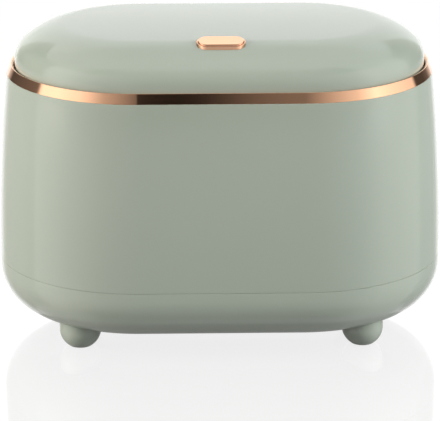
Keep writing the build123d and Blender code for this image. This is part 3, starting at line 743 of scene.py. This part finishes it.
def make_body():
    """The upper shell, one glossy moulding open at both ends, with four screw posts inside."""
    outside = body_wall(0, 24, SEAM)
    inside = [(out, max(height, SEAM)) for out, height in body_wall(SHELL_WALL, 12, SEAM)]
    section = outside + [(outside[-1][0] - SHELL_WALL, TRIM_BOTTOM)] + inside[-2::-1]
    piece = carry_round(draw_section("body_moulding", section))
    soften(piece, 0.35 * MM)
    low = LEDGE_UNDER - POST_LENGTH
    high = rim_low.z - WEB_DROP
    hole_end = LEDGE_UNDER - FRAME_BITE - HOLE_SPARE
    posts = []
    for angle, (x, y) in zip(frame_screw_angles, frame_screw_places):
        pillar = post(x, y, low, LEDGE_UNDER, BOSS)
        cut(pillar, post(x, y, hole_end, LEDGE_UNDER + MM, SMALL_SCREW[0] + SCREW_GAP))
        soften(pillar, 0.25 * MM, 2)
        reach = TRIM_RADIUS - SHELL_WALL / 4 - FRAME_SCREW_OUT
        web = block((BOSS / 2, -WEB_THICK / 2, low), (reach, WEB_THICK / 2, high))
        soften(web, 0.2 * MM, 2)
        web.data.transform(Matrix.Translation((x, y, 0)) @ Matrix.Rotation(angle, 4, "Z"))
        posts += [pillar, web]
    join(piece, *posts)
    smooth(piece)
    dress(piece, gloss_abs, "housing", "sage_plastic", "body_shell")


def make_base():
    """The base tub: flat floor, round corner, spigot inside the upper shell, four foot sockets."""
    corner = (END_RADIUS - CORNER_RADIUS, UNDERSIDE + CORNER_RADIUS)
    spigot = END_RADIUS - SHELL_WALL - SLIP
    under = [(0, UNDERSIDE)] + arc(corner, CORNER_RADIUS, -pi / 2, 0, 28)
    section = (
        under
        + [(END_RADIUS, SEAM), (spigot, SEAM), (spigot, base_high.z), (spigot - SPIGOT_WALL, base_high.z)]
        + [(spigot - SPIGOT_WALL, SEAM - SPIGOT_ROOT)]
        + arc(corner, CORNER_RADIUS - BASE_WALL, 0, -pi / 2, 14)
        + [(0, UNDERSIDE + BASE_WALL)]
    )
    piece = carry_round(draw_section("base_moulding", section))
    soften(piece, 0.3 * MM)
    inside = carry_round(draw_section("tub_filled", under + [(END_RADIUS, SEAM), (0, SEAM)]))
    top = SOCKET_TOP + SOCKET_WALL
    bosses = [post(x, y, UNDERSIDE, top, FOOT_RADIUS + SOCKET_WALL, 64) for x, y in foot_places]
    sockets = join(*bosses)
    combine(sockets, inside, "INTERSECT")
    combine(piece, sockets, "UNION")
    cut(piece, *[post(x, y, 0, SOCKET_TOP, FOOT_RADIUS + SLIP, 64) for x, y in foot_places])
    cut(piece, *[post(x, y, 0, SEAM, FOOT_SCREW[0] + SCREW_GAP) for x, y in foot_places])
    smooth(piece)
    dress(piece, gloss_abs, "housing", "sage_plastic", "base_shell")


def make_feet():
    """Four short bars with a ball end, flattened where they stand, each with a screw hole on top."""
    rise = sqrt(FOOT_RADIUS**2 - FOOT_FLAT**2)
    start = -pi / 2 + asin(FOOT_FLAT / FOOT_RADIUS)
    section = (
        [(0, 0)]
        + arc((0, rise), FOOT_RADIUS, start, 0, 24)
        + [(FOOT_RADIUS, feet_high.z), (0, feet_high.z)]
    )
    first = turn_whole(draw_section("foot", section, centre_x=0))
    soften(first, 0.4 * MM)
    hole_end = SOCKET_TOP - FOOT_BITE - HOLE_SPARE
    cut(first, post(0, 0, hole_end, SOCKET_TOP + MM, FOOT_SCREW[0] + SCREW_GAP))
    smooth(first)
    for x, y in foot_places:
        name = f"foot_{'front' if y < 0 else 'rear'}_{'left' if x < 0 else 'right'}"
        foot = copy_of(first, name, Matrix.Translation((x, y, 0)))
        dress(foot, gloss_abs, "housing", "sage_plastic", "feet")
    bpy.data.objects.remove(first)


def make_screw(kind, length):
    """One screw at the origin, pointing down: a rounded head with a cross recess, and a thread."""
    shank, head, thick = kind
    edge = 0.45 * thick
    core = shank * THREAD_CORE
    turns = int((length - shank) / THREAD_PITCH)
    thread = []
    for turn in range(turns):
        level = -thick - turn * THREAD_PITCH
        thread += [(core, level - 0.1 * THREAD_PITCH), (shank, level - 0.55 * THREAD_PITCH)]
    section = (
        [(0, 0)]
        + arc((head - edge, -edge), edge, pi / 2, 0, 4)
        + [(head, -thick)]
        + thread
        + [(core, -thick - turns * THREAD_PITCH), (0, -thick - length)]
    )
    screw = turn_whole(draw_section("screw", section, centre_x=0), 24)
    long, narrow, deep = 0.62 * head, 0.16 * head, 0.6 * thick
    cut(screw, block((-long, -narrow, -deep), (long, narrow, MM)))
    cut(screw, block((-narrow, -long, -deep), (narrow, long, MM)))
    smooth(screw, 32)
    return screw


def drive_screws(node, body, places, kind, level, up, length):
    """Put a copy of one screw at each place, with its head's outer face at this level."""
    first = make_screw(kind, length)
    way = Matrix.Rotation(pi if up else 0, 4, "X")
    for number, (x, y) in enumerate(places, 1):
        screw = copy_of(first, f"{node}_{number}", Matrix.Translation((x, y, level)) @ way)
        dress(screw, zinc_plate, body, "screw_steel", node)
    bpy.data.objects.remove(first)


def make_trim():
    """The plated ring: a leaning band, a thin rounded edge and a bevel that falls to the lid."""
    inside = TRIM_RADIUS - TRIM_WALL
    section = [
        (TRIM_RADIUS, TRIM_BOTTOM),
        (TRIM_RADIUS - TRIM_LEAN, TRIM_TOP),
        (TRIM_INNER + BEVEL_RUN, TRIM_TOP),
        (TRIM_INNER, TRIM_TOP - BEVEL_DROP),
        (TRIM_INNER, TRIM_LIP),
        (inside, TRIM_LIP),
        (inside, TRIM_BOTTOM),
    ]
    piece = carry_round(draw_section("trim_band", section))
    soften(piece, 0.16 * MM, 3, 25)
    low = TRIM_TOP - NOTCH_DEPTH
    cut(piece, block((-NOTCH_HALF, 0, low), (NOTCH_HALF, END_RADIUS, TRIM_TOP + MM)))
    ledge = TRIM_BOTTOM + NOTCH_INNER
    cut(piece, block((-NOTCH_HALF, 0, ledge), (NOTCH_HALF, inside, TRIM_TOP + MM)))
    smooth(piece, 30)
    dress(piece, rose_plating, "housing", "rose_gold_plating", "trim_ring")


def knuckle(name, foot, ends, bore):
    """A hinge knuckle: a barrel round the pin with a foot drawn as (Y, Z)."""
    piece = bar_across(name, foot, *ends)
    barrel = rod((ends[0], HINGE.y, HINGE.z), (ends[1], HINGE.y, HINGE.z), KNUCKLE)
    combine(piece, barrel, "UNION")
    cut(piece, rod((ends[0] - MM, HINGE.y, HINGE.z), (ends[1] + MM, HINGE.y, HINGE.z), bore))
    soften(piece, 0.2 * MM, 2)
    return piece


def make_frame():
    """The frame under the trim: ledge for lid and bucket, hinge knuckles, spring shelves and the catch."""
    skirt_top = TRIM_BOTTOM - SLIP
    outer = rim_high.x - HALF_STRAIGHT
    section = [
        (outer, rim_low.z),
        (outer, skirt_top),
        (RIM_OUTER, skirt_top),
        (RIM_OUTER, RIM_TOP),
        (RIM_INNER, RIM_TOP),
        (RIM_INNER, LEDGE),
        (SEAT_OUTER, LEDGE),
        (SEAT_OUTER, BUCKET_SEAT),
        (OPENING, BUCKET_SEAT),
        (OPENING, LEDGE_UNDER),
        (outer - FRAME_WALL, LEDGE_UNDER),
        (outer - FRAME_WALL, rim_low.z),
    ]
    piece = carry_round(draw_section("frame_moulding", section))
    soften(piece, 0.2 * MM, 2)
    shank, head, thick = SMALL_SCREW
    for low, radius in ((LEDGE_UNDER - MM, shank + SCREW_GAP), (LEDGE - thick, head + SLIP)):
        cut(piece, *[post(x, y, low, LEDGE + MM, radius) for x, y in frame_screw_places])
    y, z = HINGE.y, HINGE.z
    foot = [
        (RIM_INNER, RIM_TOP - SINK),
        (RIM_OUTER, RIM_TOP - SINK),
        (RIM_OUTER, SHELF_LEVEL + SLIP),
        (y + 0.3 * KNUCKLE, z - 0.9 * KNUCKLE),
        (y, z),
        (y - 0.8 * KNUCKLE, z + 0.5 * KNUCKLE),
        (RIM_INNER, z - 0.6 * KNUCKLE),
    ]
    leg_y = y - HINGE_COIL
    shelf_back = leg_y + SHELF_PAST
    shelf_line = [
        (RIM_INNER, RIM_TOP - SINK),
        (RIM_OUTER, RIM_TOP - SINK),
        (RIM_OUTER, SHELF_LEVEL),
        (shelf_back, SHELF_LEVEL),
        (shelf_back, SHELF_LEVEL + SHELF_THICK),
        (RIM_INNER, SHELF_LEVEL + SHELF_THICK),
    ]
    shelf = bar_across("spring_shelf", shelf_line, SPRING_LEG - SHELF_HALF, SPRING_LEG + SHELF_HALF)
    cut(shelf, post(SPRING_LEG, leg_y, SHELF_LEVEL - MM, SHELF_LEVEL + 2 * MM, HINGE_WIRE + SCREW_GAP, 24))
    bore = PIN_RADIUS + SCREW_GAP / 2
    right = [
        knuckle("outer_knuckle", foot, OUTER_KNUCKLE, bore),
        knuckle("inner_knuckle", foot, INNER_KNUCKLE, bore),
        shelf,
    ]
    left = [other_side(part) for part in right]
    catch = block((-CATCH_HALF, -CATCH_OUTER, LEDGE - SINK), (CATCH_HALF, -CATCH_INNER, CATCH_TOP))
    slope_off(catch, (0, -CATCH_INNER - CATCH_LEAD, CATCH_TOP), (0, 1, 1))
    window_half = BOLT_HALF + MOVING
    window_low = (-window_half, -CATCH_OUTER - MM, BOLT_BOTTOM - MOVING)
    window_high = (window_half, -CATCH_INNER + MM, BOLT_TOP + MOVING)
    cut(catch, block(window_low, window_high))
    soften(catch, 0.15 * MM, 2)
    join(piece, catch, *right, *left)
    smooth(piece)
    dress(piece, satin_abs, "housing", "frame_plastic", "rim_frame")


def make_bucket():
    """The lift-out bucket: drafted wall, rounded floor, hanging rim and two grip holes."""
    seat = bucket_high.z - BUCKET_RIM
    rim = bucket_high.x - HALF_STRAIGHT
    top = OPENING - 2.5 * SLIP
    low = top - (seat - bucket_low.z) * tan(BUCKET_DRAFT)
    floor = bucket_low.z
    outer = BUCKET_CORNER + BUCKET_WALL
    section = (
        [(0, floor)]
        + arc((low - outer, floor + outer), outer, -pi / 2, -BUCKET_DRAFT, 12)
        + [(top, seat), (rim, seat), (rim, bucket_high.z), (top - BUCKET_WALL, bucket_high.z)]
        + arc((low - outer, floor + outer), BUCKET_CORNER, -BUCKET_DRAFT, -pi / 2, 12)
        + [(0, floor + BUCKET_WALL)]
    )
    piece = carry_round(draw_section("bucket_tub", section))
    soften(piece, 0.35 * MM, 3)
    level = bucket_high.z - GRIP_DROP
    reach = bucket_high.x + MM
    grip = rod((-reach, 0, level), (reach, 0, level), GRIP_RADIUS)
    for side in (-1, 1):
        pick(grip, lambda place: side * place.y > TINY)
        bpy.ops.transform.translate(value=(0, side * GRIP_RUN, 0))
        done()
    cut(piece, grip)
    smooth(piece)
    dress(piece, bucket_pp, "housing", "bucket_plastic", "inner_bucket")


def dome(inset, steps):
    """The lid's round edge, shoulder and crown, this far inside its outer surface."""
    edge_centre = (LID_RADIUS - EDGE_RADIUS, EDGE_LEVEL)
    centre = (SHOULDER_OUT, SHOULDER_LEVEL)
    crown_start = pi / 2 - CROWN_SLOPE
    edge = arc(edge_centre, EDGE_RADIUS - inset, 0, EDGE_TURN, steps)
    shoulder = arc(centre, SHOULDER_RADIUS - inset, EDGE_TURN, crown_start, steps)
    crown_radius = (centre[0] + SHOULDER_RADIUS * cos(crown_start)) / sin(CROWN_SLOPE)
    end_height = centre[1] + SHOULDER_RADIUS * sin(crown_start)
    crown_centre = (0, end_height - crown_radius * cos(CROWN_SLOPE))
    crown = arc(crown_centre, crown_radius - inset, crown_start, pi / 2, steps // 2)
    return edge + shoulder[1:] + crown[1:]


def lid_post(x, y):
    """A liner screw's post that runs up into the lid's shoulder, cut off along the wall's middle."""
    away = Vector((x, y, 0))
    # The shoulder falls from an end's centre at the two end posts, and straight across at the others
    if y == 0:
        away.x -= HALF_STRAIGHT if x > 0 else -HALF_STRAIGHT
    else:
        away.x = 0
    past = away.length - SHOULDER_OUT
    middle = SHOULDER_RADIUS - LID_WALL / 2
    rise = sqrt(middle**2 - past**2)
    piece = post(x, y, LINER_TOP, LID_TOP, BOSS)
    slope_off(piece, (x, y, SHOULDER_LEVEL + rise), away.normalized() * past + Vector((0, 0, rise)))
    hole_end = LINER_TOP + LINER_BITE + HOLE_SPARE
    cut(piece, post(x, y, LINER_TOP - MM, hole_end, SMALL_SCREW[0] + SCREW_GAP))
    return piece


def make_lid():
    """The lid's outer moulding: dome, skirt, collar boss, screw posts and two hinge arms."""
    section = dome(0, 28)[::-1] + [(LID_RADIUS, LID_BOTTOM), (LID_INNER, LID_BOTTOM)] + dome(LID_WALL, 14)
    piece = carry_round(draw_section("lid_moulding", section))
    soften(piece, 0.3 * MM)
    hole_width = COLLAR_WIDTH + SLIP
    hole_depth = COLLAR_DEPTH + SLIP
    cut(piece, pill("hole", hole_width, hole_depth, COLLAR_SEAT, ABOVE_LID))
    boss_width = hole_width + 2 * COLLAR_BOSS_WALL
    boss_depth = hole_depth + 2 * COLLAR_BOSS_WALL
    boss = pill("collar_boss", boss_width, boss_depth, COLLAR_SEAT, LID_TOP)
    slope_to_lid(boss, -LID_WALL / 2)
    cut(boss, pill("bore", hole_width, hole_depth, LID_BOTTOM, ABOVE_LID))
    inside = [boss]
    hole_end = COLLAR_SEAT + COLLAR_BITE + HOLE_SPARE
    for x, y in collar_screw_places:
        ear = slope_to_lid(post(x, y, COLLAR_SEAT, LID_TOP, BOSS), -LID_WALL / 2)
        cut(ear, post(x, y, COLLAR_SEAT - MM, hole_end, SMALL_SCREW[0] + SCREW_GAP))
        inside.append(ear)
    inside += [lid_post(x, y) for x, y in liner_screw_places]
    mid_wall = LID_RADIUS - LID_WALL / 2
    y, z = HINGE.y, HINGE.z
    foot = [
        (mid_wall, TRIM_TOP - NOTCH_DEPTH + MOVING),
        (y, z - KNUCKLE),
        (y, z),
        (y - 0.3 * KNUCKLE, z + 0.9 * KNUCKLE),
        (mid_wall - SINK, z),
    ]
    arm = knuckle("hinge_arm", foot, (ARM_INNER, ARM_OUTER), PIN_RADIUS + SCREW_GAP)
    leg_x = SPRING_LEG + HINGE_TURNS * HINGE_PITCH
    level = z - HINGE_COIL
    pockets = [
        rod((side * leg_x, LID_INNER - MM, level), (side * leg_x, y, level), HINGE_WIRE + MOVING, 24)
        for side in (-1, 1)
    ]
    cut(piece, *pockets)
    join(piece, arm, other_side(arm), *inside)
    smooth(piece)
    dress(piece, gloss_abs, "lid", "sage_plastic", "lid_shell")


def make_liner():
    """The plate that closes the lid from below, with its raised panel and the latch's rails."""
    reach = -SPRING_STOP - PANEL_INSET
    section = [
        (0, LINER_LOW + PANEL_RISE),
        (reach, LINER_LOW + PANEL_RISE),
        (reach + PANEL_RISE, LINER_LOW),
        (LINER_RADIUS, LINER_LOW),
        (LINER_RADIUS, LINER_TOP),
        (reach + PANEL_RISE + SINK, LINER_TOP),
        (reach + SINK, LINER_TOP + PANEL_RISE),
        (0, LINER_TOP + PANEL_RISE),
    ]
    piece = carry_round(draw_section("lid_liner_plate", section))
    soften(piece, 0.5 * MM, 3, 25)
    slot_half = CATCH_HALF + CATCH_PLAY
    slot_back = -CATCH_INNER + CATCH_PLAY
    slot_low = (-slot_half, -LINER_RADIUS - MM, LINER_LOW - MM)
    cut(piece, block(slot_low, (slot_half, slot_back, LINER_TOP + MM)))
    shank, head, thick = SMALL_SCREW
    for high, radius in ((LINER_TOP + MM, shank + SCREW_GAP), (LINER_LOW + thick, head + SLIP)):
        cut(piece, *[post(x, y, LINER_LOW - MM, high, radius) for x, y in liner_screw_places])
    lip_top = RAIL_LIP_LOW + RAIL_LIP
    front = slot_back + SINK
    back = bolt_high.y - PIP_LENGTH + BOLT_TRAVEL
    rail = block((RAIL_INNER, front, LINER_TOP - SINK), (RAIL_INNER + RAIL_WALL, back, lip_top))
    lip = block((RAIL_LIP_INNER, front, RAIL_LIP_LOW), (RAIL_INNER + SINK, back, lip_top))
    combine(rail, lip, "UNION")
    soften(rail, 0.2 * MM, 2)
    stop_back = SPRING_STOP + STOP_WALL
    stop_line = [
        (SPRING_STOP, LINER_TOP - SINK),
        (SPRING_STOP, latch_spring_high.z),
        (stop_back, latch_spring_high.z),
        (stop_back, LINER_TOP + PANEL_RISE - SLIP),
        (stop_back + STOP_RIB, LINER_TOP + PANEL_RISE - SINK),
        (stop_back, LINER_TOP - SINK),
    ]
    stop = bar_across("spring_stop", stop_line, -STOP_HALF, STOP_HALF)
    pip_end = SPRING_STOP - PIP_LENGTH
    pip = rod((0, SPRING_STOP + SINK, LATCH_AXIS), (0, pip_end, LATCH_AXIS), PIP_RADIUS, 32)
    join(piece, rail, other_side(rail), stop, pip)
    smooth(piece)
    dress(piece, satin_abs, "lid", "frame_plastic", "lid_liner")


def make_gasket():
    """The soft ring under the lid's skirt, rounded where it meets the ledge."""
    outer = gasket_high.x - HALF_STRAIGHT
    inner = LID_INNER + SLIP
    section = [
        (outer, gasket_high.z),
        (outer, gasket_low.z),
        (inner, gasket_low.z),
        (inner, gasket_high.z),
    ]
    piece = carry_round(draw_section("gasket_ring", section))
    soften(piece, 0.3 * MM, 4)
    smooth(piece)
    dress(piece, silicone, "lid", "silicone", "lid_gasket")


def make_button():
    """The push button: rounded sloping cap over a hollow skirt, a holding lip and the wedge-ended stem."""
    lip_top = collar_low.z - MOVING
    low = lip_top - BUTTON_LIP_THICK
    cap = slope_to_lid(pill("button_cap", BUTTON_WIDTH, BUTTON_DEPTH, low, ABOVE_LID), BUTTON_PROUD)
    pick_faces(cap, lambda centre, normal: normal.z > 0 and centre.z > BUTTON_SURFACE)
    bpy.ops.mesh.bevel(offset=0.4 * MM, segments=4, affect="EDGES")
    done()
    lip = pill("button_lip", BUTTON_WIDTH + 2 * BUTTON_LIP, BUTTON_DEPTH + 2 * BUTTON_LIP, low, lip_top)
    combine(cap, lip, "UNION")
    hollow_width = BUTTON_WIDTH - 2 * BUTTON_WALL
    hollow_depth = BUTTON_DEPTH - 2 * BUTTON_WALL
    cut(cap, pill("hollow", hollow_width, hollow_depth, low - MM, BUTTON_SURFACE - BUTTON_ROOF))
    tip = button_low.z
    stem_line = [
        (BUTTON_Y - STEM_HALF, tip),
        (BUTTON_Y - STEM_HALF, BUTTON_SURFACE),
        (BUTTON_Y + STEM_HALF, BUTTON_SURFACE),
        (BUTTON_Y + STEM_HALF, tip + 2 * STEM_HALF),
    ]
    stem = bar_across("stem", stem_line, -STEM_SIDE, STEM_SIDE)
    soften(stem, 0.2 * MM, 2)
    join(cap, stem)
    smooth(cap, 30)
    dress(cap, rose_plating, "button", "rose_gold_plating", "push_button")


def make_collar():
    """The thin collar that stands round the button, with its screwed flange inside the lid."""
    low = collar_low.z
    piece = pill("button_collar", COLLAR_WIDTH, COLLAR_DEPTH, low, ABOVE_LID)
    slope_to_lid(piece, COLLAR_PROUD)
    bore_width = BUTTON_WIDTH + 2 * COLLAR_GAP
    bore_depth = BUTTON_DEPTH + 2 * COLLAR_GAP
    cut(piece, pill("bore", bore_width, bore_depth, low - MM, ABOVE_LID))
    soften(piece, 0.18 * MM, 3)
    flange_width = COLLAR_WIDTH + 2 * FLANGE_REACH
    flange_depth = COLLAR_DEPTH + 2 * FLANGE_REACH
    flange = pill("flange", flange_width, flange_depth, low, COLLAR_SEAT)
    combine(flange, pill("ears", 2 * (COLLAR_SCREW_X + BOSS), 2 * BOSS, low, COLLAR_SEAT), "UNION")
    cut(flange, pill("bore", bore_width, bore_depth, low - MM, COLLAR_SEAT + MM))
    hole = SMALL_SCREW[0] + SCREW_GAP
    cut(flange, *[post(x, y, low - MM, COLLAR_SEAT + MM, hole) for x, y in collar_screw_places])
    soften(flange, 0.15 * MM, 2)
    join(piece, flange)
    smooth(piece)
    dress(piece, rose_plating, "lid", "rose_gold_plating", "button_bezel")


def make_pin():
    """The ground steel pin through the knuckles, with chamfered ends."""
    piece = rod((pin_low.x, HINGE.y, HINGE.z), (pin_high.x, HINGE.y, HINGE.z), PIN_RADIUS, 64)
    piece.name = "hinge_pin_ground"
    soften(piece, 0.3 * MM, 1, 60)
    smooth(piece, 30)
    dress(piece, spring_steel, "housing", "spring_steel", "hinge_pin")


def make_springs():
    """The two torsion springs of the hinge and the latch's compression spring, in round wire.
    """
    for side, name in ((-1, "lid_spring_left"), (1, "lid_spring_right")):
        start_x = side * SPRING_LEG
        end_x = side * (SPRING_LEG + HINGE_TURNS * HINGE_PITCH)
        line = [Vector((start_x, HINGE.y - HINGE_COIL, SHELF_LEVEL + MOVING))]
        for step in range(round(HINGE_TURNS * SPRING_STEPS) + 1):
            angle = 2 * pi * step / SPRING_STEPS
            x = start_x + side * HINGE_PITCH * step / SPRING_STEPS
            y, z = HINGE.y - HINGE_COIL * cos(angle), HINGE.z + HINGE_COIL * sin(angle)
            line.append(Vector((x, y, z)))
        line.append(Vector((end_x, LID_RADIUS - LID_WALL / 2, HINGE.z - HINGE_COIL)))
        wire = round_wire(name + "_wire", line, HINGE_WIRE)
        wire.data.materials.append(spring_steel)
        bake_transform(wire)
        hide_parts(name)
    front = latch_spring_low.y + LATCH_WIRE
    pitch = (SPRING_STOP - latch_spring_low.y - 2 * LATCH_WIRE) / LATCH_TURNS
    line = []
    for step in range(LATCH_TURNS * SPRING_STEPS + 1):
        angle = 2 * pi * step / SPRING_STEPS
        y = front + pitch * step / SPRING_STEPS
        line.append(Vector((LATCH_COIL * sin(angle), y, LATCH_AXIS + LATCH_COIL * cos(angle))))
    wire = round_wire("latch_spring_wire", line, LATCH_WIRE)
    wire.data.materials.append(spring_steel)
    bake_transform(wire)
    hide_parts("latch_spring")


def dress_bolt():
    """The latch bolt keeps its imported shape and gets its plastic."""
    packed = frame["nodes"]["latch_bolt"]
    packed.data.materials.clear()
    packed.data.materials.append(acetal)


def softbox(name, place, aim, width, height, power, colour="#ffffff"):
    """A rectangular lamp that points at a place and lights it without showing in the gloss."""
    bpy.ops.object.light_add(type="AREA", location=place)
    lamp = bpy.context.object
    lamp.name = name
    lamp.data.shape = "RECTANGLE"
    lamp.data.size = width
    lamp.data.size_y = height
    lamp.data.energy = power
    lamp.data.color = linear(colour)[:3]
    lamp.rotation_euler = (Vector(aim) - Vector(place)).to_track_quat("-Z", "Y").to_euler()
    lamp.visible_camera = False
    lamp.visible_glossy = False


def mirrored_panel(name, start, end, low, high, stops, brightest, colour, distance=PANEL_DISTANCE):
    """A curved studio panel that shows only as a reflection.

    Start and end are degrees round the bin from straight in front, to the right as seen from
    above. Each stop is such an angle and the share of the brightest glow that the panel has there.
    """
    turn = radians(end - start)
    foot = Vector((distance * sin(radians(start)), -distance * cos(radians(start)), low))
    panel = draw_line(name, [foot, foot + Vector((0, 0, high - low))])
    pick(panel)
    steps = round((end - start) / PANEL_STEP)
    bpy.ops.mesh.spin(steps=steps, angle=-turn, center=(0, 0, 0), axis=(0, 0, 1))
    done()
    material, tree, output = new_material(name + "_cloth")
    place = add(tree, "ShaderNodeTexCoord").outputs["Object"]
    # The radial gradient starts at -X, so a quarter turn puts its middle straight in front
    turned = add(tree, "ShaderNodeMapping", {"Vector": place, "Rotation": (0, 0, radians(90))})
    angle = add(
        tree, "ShaderNodeTexGradient", {"Vector": turned.outputs["Vector"]}, gradient_type="RADIAL"
    )
    ramp = add(tree, "ShaderNodeValToRGB", {"Fac": angle.outputs["Fac"]})
    marks = ramp.color_ramp.elements
    while len(marks) < len(stops):
        marks.new(0.5)
    for mark, (degree, share) in zip(marks, stops):
        mark.position = 0.5 + degree / 360
        mark.color = (share, share, share, 1)
    glow = add(tree, "ShaderNodeMath", {0: ramp.outputs["Color"], 1: brightest}, operation="MULTIPLY")
    light = add(tree, "ShaderNodeEmission", {"Color": linear(colour), "Strength": glow.outputs["Value"]})
    tree.links.new(light.outputs["Emission"], output.inputs["Surface"])
    panel.data.materials.append(material)
    panel.visible_camera = False
    panel.visible_diffuse = False
    panel.visible_shadow = False


def seen_directly(tree):
    """1 for the camera and for what gloss or glass shows, 0 where a surface only lights the object."""
    rays = add(tree, "ShaderNodeLightPath")
    either = add(
        tree,
        "ShaderNodeMath",
        {0: rays.outputs["Is Camera Ray"], 1: rays.outputs["Is Glossy Ray"]},
        operation="MAXIMUM",
    )
    return add(
        tree,
        "ShaderNodeMath",
        {0: either.outputs["Value"], 1: rays.outputs["Is Transmission Ray"]},
        operation="MAXIMUM",
    )


def make_floor():
    """A white gloss floor with a faint mirror image and a soft shadow."""
    bpy.ops.object.select_all(action="DESELECT")
    bpy.ops.mesh.primitive_plane_add(size=FLOOR_SIZE, location=(0, 0, 0))
    floor = bpy.context.object
    floor.name = "floor"
    material, tree, output = new_material("white_acrylic_floor")
    lighting = add(tree, "ShaderNodeBsdfDiffuse", {"Color": linear(FLOOR_LIGHT)})
    shadow = add(tree, "ShaderNodeBsdfDiffuse", {"Color": linear(FLOOR_WHITE)})
    mirror = add(tree, "ShaderNodeBsdfGlossy", {"Color": linear(FLOOR_WHITE), "Roughness": FLOOR_POLISH})
    white = add(tree, "ShaderNodeEmission", {"Color": linear(FLOOR_WHITE), "Strength": ROOM_SEEN})
    rays = add(tree, "ShaderNodeLightPath")
    # The gloss of the bin shows more of the floor's own mirror image and shadow than the camera does
    place = add(tree, "ShaderNodeTexCoord").outputs["Object"]
    away = add(tree, "ShaderNodeVectorMath", {0: place}, operation="LENGTH")
    faded = add(
        tree,
        "ShaderNodeMapRange",
        {
            "Value": away.outputs["Value"],
            "From Min": MIRROR_FADE_START,
            "From Max": MIRROR_FADE_END,
            "To Min": FLOOR_MIRROR,
            "To Max": 0,
        },
        interpolation_type="SMOOTHSTEP",
    )
    share = add(
        tree,
        "ShaderNodeMix",
        {
            "Factor": rays.outputs["Is Glossy Ray"],
            "A": faded.outputs["Result"],
            "B": FLOOR_DOUBLE_MIRROR,
        },
    )
    gloss = add(
        tree,
        "ShaderNodeMixShader",
        {0: share.outputs["Result"], 1: white.outputs["Emission"], 2: mirror.outputs["BSDF"]},
    )
    depth = add(
        tree,
        "ShaderNodeMapRange",
        {"Value": rays.outputs["Is Glossy Ray"], "To Min": FLOOR_SHADOW, "To Max": FLOOR_DOUBLE_SHADOW},
    )
    shaded = add(
        tree,
        "ShaderNodeMixShader",
        {0: depth.outputs["Result"], 1: gloss.outputs["Shader"], 2: shadow.outputs["BSDF"]},
    )
    both = add(
        tree,
        "ShaderNodeMixShader",
        {0: seen_directly(tree).outputs["Value"], 1: lighting.outputs["BSDF"], 2: shaded.outputs["Shader"]},
    )
    tree.links.new(both.outputs["Shader"], output.inputs["Surface"])
    floor.data.materials.append(material)


def light_room():
    """White walls for the camera and for what the gloss mirrors, dimmer as light on the object."""
    world = bpy.data.worlds.new("studio")
    bpy.context.scene.world = world
    world.use_nodes = True
    tree = world.node_tree
    tree.nodes.clear()
    strength = add(
        tree,
        "ShaderNodeMapRange",
        {
            "Value": seen_directly(tree).outputs["Value"],
            "To Min": ROOM_AS_LIGHT,
            "To Max": ROOM_SEEN,
        },
    )
    backdrop = add(
        tree, "ShaderNodeBackground", {"Color": linear("#ffffff"), "Strength": strength.outputs["Result"]}
    )
    add(tree, "ShaderNodeOutputWorld", {"Surface": backdrop.outputs["Background"]})
    # Lamps: place, aim, width, height and power in watts
    middle = (0, 0, 90 * MM)
    softbox("lamp_left", (-1.1, -0.35, 0.45), middle, 0.5, 0.9, 15, "#fff8f2")
    softbox("lamp_right", (1.1, -0.45, 0.45), middle, 0.5, 0.9, 13.5)
    softbox("lamp_front_top", (0, -0.45, 1.15), middle, 1.4, 0.9, 3.6)
    softbox("lamp_back", (0, 1.3, 0.5), middle, 1.4, 0.6, 8)
    # Brightest at both sides, falling to a dark stripe straight in front, and dark again behind them
    round_the_bin = [
        (-150, 0.5),
        (-138, 0.05),
        (-96, 0.11),
        (-92, 0.96),
        (-74, 1.0),
        (-54, 0.8),
        (-33, 0.355),
        (-5, 0.13),
        (-3.4, 0.12),
        (-3.0, 0.01),
        (0.4, 0.011),
        (2.4, 0.08),
        (3.4, 0.12),
        (25, 0.32),
        (51, 0.58),
        (68, 1.0),
        (80, 0.87),
        (110, 0.62),
        (113.5, 0.045),
        (127, 0.045),
        (138, 0.1),
        (150, 0.5),
    ]
    behind = PANEL_DISTANCE + 0.05
    mirrored_panel("surround", -150, 150, 0.0, 1.2, round_the_bin, 1.8, "#fffbf6")
    mirrored_panel("panel_back", 135, 225, 0.0, 2.0, [(-180, 0.9), (180, 0.9)], 1.6, "#ffffff", behind)
    mirrored_panel("flag_front", -60, 60, 1.2, 3.2, [(-180, 0.1), (180, 0.1)], 1.0, "#ffffff")


place_camera()
make_body()
make_base()
make_feet()
make_trim()
make_frame()
make_bucket()
make_lid()
make_liner()
make_gasket()
make_button()
make_collar()
make_pin()
make_springs()
dress_bolt()
foot_length = SOCKET_WALL + FOOT_BITE
foot_level = SOCKET_TOP + SOCKET_WALL + FOOT_SCREW[2]
frame_length = LEDGE - SMALL_SCREW[2] - LEDGE_UNDER + FRAME_BITE
liner_length = LINER_THICK - SMALL_SCREW[2] + LINER_BITE
collar_length = FLANGE_THICK + COLLAR_BITE
collar_level = collar_low.z - SMALL_SCREW[2]
drive_screws("foot_screws", "housing", foot_places, FOOT_SCREW, foot_level, False, foot_length)
drive_screws("frame_screws", "housing", frame_screw_places, SMALL_SCREW, LEDGE, False, frame_length)
drive_screws("lid_screws", "lid", liner_screw_places, SMALL_SCREW, LINER_LOW, True, liner_length)
drive_screws("bezel_screws", "lid", collar_screw_places, SMALL_SCREW, collar_level, True, collar_length)
make_floor()
light_room()
bpy.context.scene.view_settings.view_transform = "Standard"
